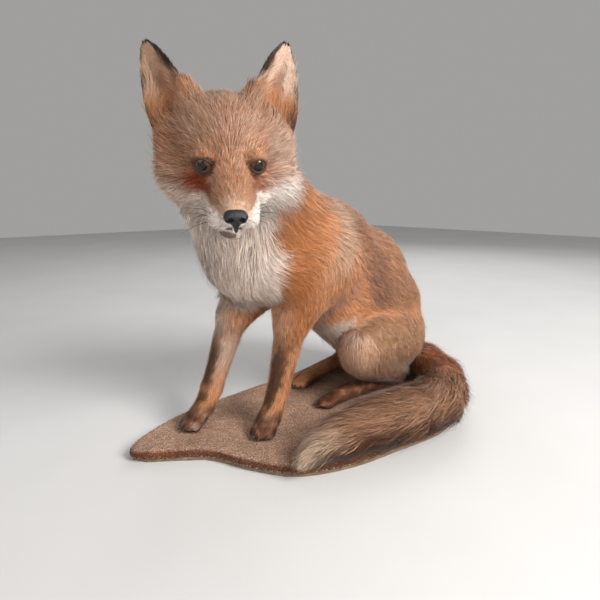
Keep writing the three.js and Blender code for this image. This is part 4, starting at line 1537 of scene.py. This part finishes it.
# Each batch: how many hairs, on which face, from and to which share of the ear's height, how
# near its rims, and their length, width and lean.
EAR_HAIR = [
    (7000, -1, -0.1, 0.97, 0.0, 8, 0.55, 0.3),  # behind
    (3500, 1, -0.05, 0.95, 0.0, 6, 0.45, 0.25),  # short hair inside
    (1500, 1, -0.15, 0.2, 0.0, 24, 0.5, 0.4),  # long hair from the base
    (1300, 1, -0.1, 0.7, 0.6, 19, 0.45, 0.8),  # long hair over the hollow
    (900, 1, 0.0, 0.95, 0.9, 4, 0.5, 0.1),  # the rims
]


build_coats()


# ---------------------------------------------------------------- tubes
def tube(path, radii, sides=8):
    """A closed tube along a path, with its own radius at each point."""
    path = np.asarray(path, float)
    along = unit(np.gradient(path, axis=0))
    zero = unit(np.cross(along, vec(0.31, 0.17, 0.93)))
    quarter = np.cross(along, zero)
    turn = 2 * np.pi * np.arange(sides) / sides
    spokes = zero[:, None] * np.cos(turn)[:, None] + quarter[:, None] * np.sin(turn)[:, None]
    return closed_rings(path[:, None] + spokes * np.asarray(radii, float)[:, None, None])


# ---------------------------------------------------------------- eyes
def build_eye(side, name):
    """A glass ball with a slight swell in front, and its angles from the gaze."""
    axes = eye_axes(side)
    lean = np.linspace(0.02, np.pi - 0.02, 44)
    turn = np.linspace(0, 2 * np.pi, 56, endpoint=False)
    angle, around = np.meshgrid(lean, turn, indexing="ij")
    directions = np.stack(
        [np.cos(angle), np.sin(angle) * np.cos(around), np.sin(angle) * np.sin(around)], axis=-1
    ) @ axes
    radius = EYE_RADIUS + 0.7 * ramp(angle, 0.75, 0.2)
    rings = eye_centre(side) + directions * radius[..., None]
    points, faces = closed_rings(rings)
    piece = mesh_object("glass_" + name, points, faces)
    angles = np.concatenate([angle.ravel(), [0.0, np.pi]])
    store(piece, "gaze_angle", angles)
    finish_piece(piece, eye_material(), (name,))


def lid_curve(side, upper, out):
    """A lid's edge from the inner corner to the outer, on a ball `out` mm over the eye."""
    across = ALMOND_HALF_WIDTH * np.sin(np.linspace(-np.pi / 2, np.pi / 2, 30))
    above = almond_height(across, upper)
    radius = EYE_RADIUS + out
    ahead = np.sqrt(np.maximum(radius**2 - across**2 - above**2, 1.0))
    return eye_centre(side) + np.stack([ahead, across, above], axis=-1) @ eye_axes(side)


LID_THICKNESS = 1.1


def build_lids():
    """The dark edge of each lid, and the line from each eye's inner corner."""
    surfaces = []
    for side in (LEFT, RIGHT):
        for upper in (True, False):
            path = lid_curve(side, upper, 0.5)
            swell = 0.55 + 0.45 * np.sin(np.linspace(0, np.pi, len(path)))
            surfaces.append(tube(path, LID_THICKNESS * swell, 10))
        tear_duct = lid_curve(side, False, 0.4)[0]
        inner = tear_duct + np.outer(np.linspace(0, 1, 6), vec(2.2, -side * 4.2, -1.6)) @ HEAD_AXES
        surfaces.append(tube(inner, np.linspace(1.2, 0.4, 6), 8))
    piece = mesh_object("eyelid_rims", *joined(surfaces))
    finish_piece(piece, lid_material())


build_eye(LEFT, "eye_left")
build_eye(RIGHT, "eye_right")
build_lids()


# ---------------------------------------------------------------- nose and lips
def nose_distance(points):
    """The leathery pad, with nostrils that curl back at the sides and a groove between."""
    total = ellipsoid(points, (66, 0, -28.4), (9, 12, 7.6))
    for side in (LEFT, RIGHT):
        total = smooth_union(total, ellipsoid(points, (69, side * 6.3, -29), (6, 5.4, 5.2)), 2.5)
    total = smooth_union(total, ellipsoid(points, (66.5, 0, -35), (5, 5, 5)), 3.0)
    total = smooth_union(total, ellipsoid(points, (66, 0.5, -39.5), (4.5, 2.6, 7.5)), 3.0)
    hollows = []
    for side in (LEFT, RIGHT):
        hollows.append(ellipsoid(points, (75.2, side * 5.3, -29.3), (5.2, 2.9, 2.7)))
        hollows.append(ellipsoid(points, (73, side * 9.4, -31.0), (5.4, 3.6, 1.1)))
    hollows.append(ellipsoid(points, (77, 0, -33), (3, 0.6, 9)))
    for hollow in hollows:
        total = -smooth_union(-total, hollow, 0.8)
    return total


NOSE_MIDDLE = on_head(67, 0, -31)
NOSE_REACH = 19.0
NOSE_STEP = 0.6


def build_nose():
    steps = np.arange(-NOSE_REACH, NOSE_REACH, NOSE_STEP)
    axes = [along + steps for along in NOSE_MIDDLE]
    field = nose_distance(grid(axes))
    points, quads = surface_nets(field, axes)
    piece = mesh_object("nose_pad", points, quads)
    finish_piece(piece, nose_material(), ("nose",))


def skin_point(origin, direction):
    """Where a ray from inside first leaves the skin."""
    reach = np.arange(0.0, 60.0, 0.25)
    outside = skin_distance(origin + reach[:, None] * direction) > 0
    return origin + reach[np.argmax(outside)] * direction


def build_lips():
    """The dark edge of the mouth, and the bare patch of the lower lip in front."""
    surfaces = []
    for side in (LEFT, RIGHT):
        path = []
        for ahead in np.linspace(62, 17, 22):
            start = on_head(min(ahead, 50), 0, lip_height(ahead))
            target = on_head(ahead, side * 30 * ramp(ahead, 66, 50), lip_height(ahead))
            heading = unit(target - start)
            path.append(skin_point(start, heading) + heading * (0.3 + 1.3 * ramp(ahead, 40, 54)))
        surfaces.append(tube(path, np.linspace(1.1, 0.6, len(path)), 8))
    piece = mesh_object("lip_edges", *joined(surfaces))
    finish_piece(piece, lip_material())


build_nose()
build_lips()


# ---------------------------------------------------------------- claws and whiskers
CLAW_LENGTH = 7.5
CLAW_ROOT = 1.5  # how far back inside the toe a claw starts
CLAW_RADIUS = 1.9


def build_claws():
    """A hooked, tapering claw on each toe."""
    surfaces = []
    for root, heading in claw_places:
        share = np.linspace(0, 1, 9)
        forward_run = heading * (share * CLAW_LENGTH - CLAW_ROOT)[:, None]
        droop = Z_AXIS * (0.6 - 2.8 * share**2)[:, None]
        path = root + forward_run + droop
        path[:, 2] = np.maximum(path[:, 2], SAND_TOP + 1.2)
        surfaces.append(tube(path, CLAW_RADIUS * (1 - share) ** 0.6 + 0.12, 10))
    piece = mesh_object("claws", *joined(surfaces))
    finish_piece(piece, horn_material())


WHISKER_ROWS, WHISKER_COLUMNS = 3, 4
WHISKER_LENGTHS = (20, 42)
WHISKER_RADIUS = 0.26


def build_whiskers():
    """Rows of drooping whiskers on both sides of the muzzle."""
    surfaces = []
    for side in (LEFT, RIGHT):
        for row in range(WHISKER_ROWS):
            for column in range(WHISKER_COLUMNS):
                ahead = 36 + 5 * column + rng.uniform(-1, 1)
                above = -33 - 4 * row + rng.uniform(-1, 1)
                root = skin_point(on_head(ahead, 0, above), LEFTWARD * side)
                sweep = vec(-1.0 + 0.1 * column, side * (0.55 + 0.08 * column), 0.05 - 0.25 * row)
                heading = unit((sweep + rng.normal(0, 0.12, 3)) @ HEAD_AXES)
                length = rng.uniform(*WHISKER_LENGTHS)
                share = np.linspace(0, 1, 8)
                path = root + heading * (share * length)[:, None]
                path = path - Z_AXIS * (share**2 * length * 0.24)[:, None]
                surfaces.append(tube(path, WHISKER_RADIUS * (1 - share) ** 0.8 + 0.04, 5))
    piece = mesh_object("whiskers", *joined(surfaces))
    finish_piece(piece, whisker_material())


build_claws()
build_whiskers()


# ---------------------------------------------------------------- base
# The edge line's points, and the sand's heights with how far in from that line each lies.
EDGE_POINTS = [
    (-43, -268), (24, -196), (74, -172), (122, -139), (154, -78), (170, -2), (183, 84), (164, 168),
    (108, 232), (20, 254), (-68, 234), (-108, 156), (-98, 52), (-96, -60), (-86, -190),
]
SAND_LEVELS = [(5.3, 1.0), (7, 0.2), (9, 0.0), (11, 0.2), (13, 0.8), (14.6, 1.8), (15.8, 3.2),
               (16.6, 5.2), (17.0, 7.6)]
BASE_MIDDLE = vec(20, 20)


def edge_line(count):
    """The base's edge as a smooth closed line (a centripetal Catmull-Rom curve)."""
    controls = np.array(EDGE_POINTS, float)
    total = len(controls)
    line = []
    for place in np.arange(count) * total / count:
        i, t = int(place), place % 1
        p = [controls[(i + k - 1) % total] for k in range(4)]
        knots = [max(np.linalg.norm(p[k + 1] - p[k]), 1e-6) ** 0.5 for k in range(3)]
        into = (p[1] - p[0]) / knots[0] - (p[2] - p[0]) / (knots[0] + knots[1])
        into = (into + (p[2] - p[1]) / knots[1]) * knots[1]
        leaving = (p[2] - p[1]) / knots[1] - (p[3] - p[1]) / (knots[1] + knots[2])
        leaving = (leaving + (p[3] - p[2]) / knots[2]) * knots[1]
        step = p[2] - p[1]
        line.append(p[1] + into * t + (3 * step - 2 * into - leaving) * t**2
                    + (into + leaving - 2 * step) * t**3)
    return np.array(line)


EDGE = edge_line(560)
EDGE_TANGENT = unit(np.roll(EDGE, -1, 0) - np.roll(EDGE, 1, 0))
EDGE_INWARD = np.stack([-EDGE_TANGENT[:, 1], EDGE_TANGENT[:, 0]], axis=-1)
SAND_LUMP = 0.55


def sand_height(points):
    """Small lumps over the sand's top, in mm."""
    return SAND_LUMP * (0.6 * noise(points, 9, 51) + 0.4 * noise(points, 3, 52) - 0.75)


# the darker, redder tone painted round the sand's side: painted shade on the base's upright edge
RIM_PAINTED_SHADE = vec(0.43, 0.25, 0.18)


def build_sand():
    """Sand glued over the board: an uneven rim, and a top of rings that shrink to a middle."""
    rings = []
    for z, inset in SAND_LEVELS:
        flat = EDGE + EDGE_INWARD * inset
        ring = np.column_stack([flat, np.full(len(flat), z)])
        rough = 0.5 * noise(ring, 6, 53) + 0.45 * noise(ring, 2.2, 54) - 0.5
        ring[:, :2] -= EDGE_INWARD * rough[:, None]
        rings.append(ring)
    rim = rings[-1][:, :2]
    for share in np.linspace(0, 1, 56)[1:-1]:
        flat = rim + (BASE_MIDDLE - rim) * share
        ring = np.column_stack([flat, np.full(len(flat), SAND_TOP)])
        ring[:, 2] += sand_height(ring)
        rings.append(ring)
    points, faces = closed_rings(np.stack(rings))
    piece = mesh_object("sand_cover", points, faces)
    # The sand's side, below its top, is painted darker and redder: painted shade on the upright
    # edge.
    paint(piece, mix(RIM_PAINTED_SHADE, np.ones(3), ramp(points[:, 2], 13.0, 16.4)))
    finish_piece(piece, sand_material(), ("base_sand",))


GRAIN_TONES = np.array([
    (0.11, 0.07, 0.045), (0.20, 0.135, 0.09), (0.28, 0.20, 0.145), (0.42, 0.33, 0.25),
    (0.55, 0.47, 0.38),
])
GRAIN_SHARES = (0.2, 0.3, 0.26, 0.16, 0.08)
OCTAHEDRON = np.concatenate([np.eye(3), -np.eye(3)])
OCTAHEDRON_FACES = np.array([
    (0, 1, 2), (1, 3, 2), (3, 4, 2), (4, 0, 2), (1, 0, 5), (3, 1, 5), (4, 3, 5), (0, 4, 5),
])
TOP_GRAINS, EDGE_GRAINS = 7000, 6500


def build_grains():
    """Loose-looking grains stuck over the top and, coarser and darkened with painted shade, round
    the edge.
    """
    picked = rng.integers(0, len(EDGE), TOP_GRAINS)
    share = np.sqrt(rng.random(TOP_GRAINS))
    inset = EDGE[picked] + EDGE_INWARD[picked] * 7.0
    flat = BASE_MIDDLE + (inset - BASE_MIDDLE) * share[:, None]
    top = np.column_stack([flat, np.full(TOP_GRAINS, SAND_TOP - 0.35)])
    top[:, 2] += sand_height(top) * 0.5
    picked = rng.integers(0, len(EDGE), EDGE_GRAINS)
    z = rng.uniform(6, 17, EDGE_GRAINS)
    inset = np.interp(z, *zip(*SAND_LEVELS))
    flat = EDGE[picked] + EDGE_INWARD[picked] * (inset + 0.3)[:, None]
    flat = flat + EDGE_TANGENT[picked] * rng.uniform(-1.5, 1.5, EDGE_GRAINS)[:, None]
    edge = np.column_stack([flat, z])
    middles = np.concatenate([top, edge])
    top_sizes = rng.uniform(0.35, 0.75, TOP_GRAINS)
    edge_sizes = rng.uniform(0.45, 1.0, EDGE_GRAINS)
    sizes = np.concatenate([top_sizes, edge_sizes])
    count = len(middles)
    stretch = sizes[:, None, None] * rng.uniform(0.6, 1.2, (count, 1, 3))
    wonky = OCTAHEDRON[None] * stretch + rng.normal(0, 0.12, (count, 6, 3)) * sizes[:, None, None]
    x, y, z = np.moveaxis(wonky, -1, 0)
    spin = rng.uniform(0, 2 * np.pi, count)[:, None]
    across, along = x * np.cos(spin) - y * np.sin(spin), x * np.sin(spin) + y * np.cos(spin)
    points = middles[:, None] + np.stack([across, along, z], axis=-1)
    points[..., 2] = np.minimum(points[..., 2], REST_PLANE + 0.4)
    faces = np.arange(count)[:, None, None] * 6 + OCTAHEDRON_FACES[None]
    piece = mesh_object("sand_grains", points.reshape(-1, 3), faces.reshape(-1, 3), smooth=False)
    tones = GRAIN_TONES[rng.choice(len(GRAIN_TONES), count, p=GRAIN_SHARES)]
    # Grains on the rim are darkened the same way, as painted shade.
    on_rim = ramp(middles[:, 2], 15.5, 13.0) * ramp(middles[:, 2], 7.0, 9.0)
    tones = tones * mix(np.ones(3), RIM_PAINTED_SHADE, on_rim)
    paint(piece, np.repeat(tones, 6, axis=0))
    finish_piece(piece, grain_material())


build_sand()
build_grains()
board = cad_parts["base_board"]
board.data.materials.clear()
board.data.materials.append(board_material())


# ---------------------------------------------------------------- floor, camera and lights
FLOOR_HALF = 4000.0
FLOOR_LEVEL = -0.2


def build_floor():
    turns = [(-1, -1), (1, -1), (1, 1), (-1, 1)]
    corners = [vec(x * FLOOR_HALF, y * FLOOR_HALF, FLOOR_LEVEL) for x, y in turns]
    floor = mesh_object("floor", corners, [(0, 1, 2, 3)], smooth=False)
    floor.data.materials.append(floor_material())


CAMERA_PLACE = (0.4738, -0.4481, 0.32)
CAMERA_TILT = np.radians(77.3)
CAMERA_TURN = np.radians(48.0)
FOCAL_LENGTH = 27.0
SENSOR_WIDTH = 36.0


def build_camera():
    lens = bpy.data.cameras.new("camera")
    lens.lens = FOCAL_LENGTH
    lens.sensor_width = SENSOR_WIDTH
    camera = bpy.data.objects.new("camera", lens)
    camera.location = CAMERA_PLACE
    camera.rotation_euler = (CAMERA_TILT, 0.0, CAMERA_TURN)
    bpy.context.scene.collection.objects.link(camera)
    bpy.context.scene.camera = camera


LIGHT_TARGET = Vector((0.03, -0.02, 0.2))


def area_light(name, place, size, power, tint=(1.0, 1.0, 1.0)):
    """A square light that points at the middle of the fox; metres and watts."""
    light = bpy.data.lights.new(name, "AREA")
    light.size = size
    light.energy = power
    light.color = tint
    lamp = bpy.data.objects.new(name, light)
    lamp.location = place
    lamp.rotation_euler = (LIGHT_TARGET - lamp.location).to_track_quat("-Z", "Y").to_euler()
    bpy.context.scene.collection.objects.link(lamp)


def build_studio():
    """A soft key light on the fox's left, a weak fill, a rim light, and one for the eyes."""
    area_light("key", (1.82, 0.25, 1.38), 1.0, 71.0, (1.0, 0.97, 0.93))
    area_light("fill", (0.5, -2.0, 0.9), 1.6, 15.0, (1.0, 0.98, 0.96))
    area_light("rim", (-0.8, 1.6, 1.6), 1.4, 18.0)
    area_light("catch", (1.3, -0.5, 0.36), 0.12, 1.5)
    world = bpy.data.worlds.new("studio")
    world.use_nodes = True
    background = world.node_tree.nodes["Background"]
    background.inputs["Color"].default_value = (0.84, 0.83, 0.82, 1.0)
    background.inputs["Strength"].default_value = 0.42
    bpy.context.scene.world = world
    bpy.context.scene.view_settings.view_transform = "Standard"


build_floor()
build_camera()
build_studio()
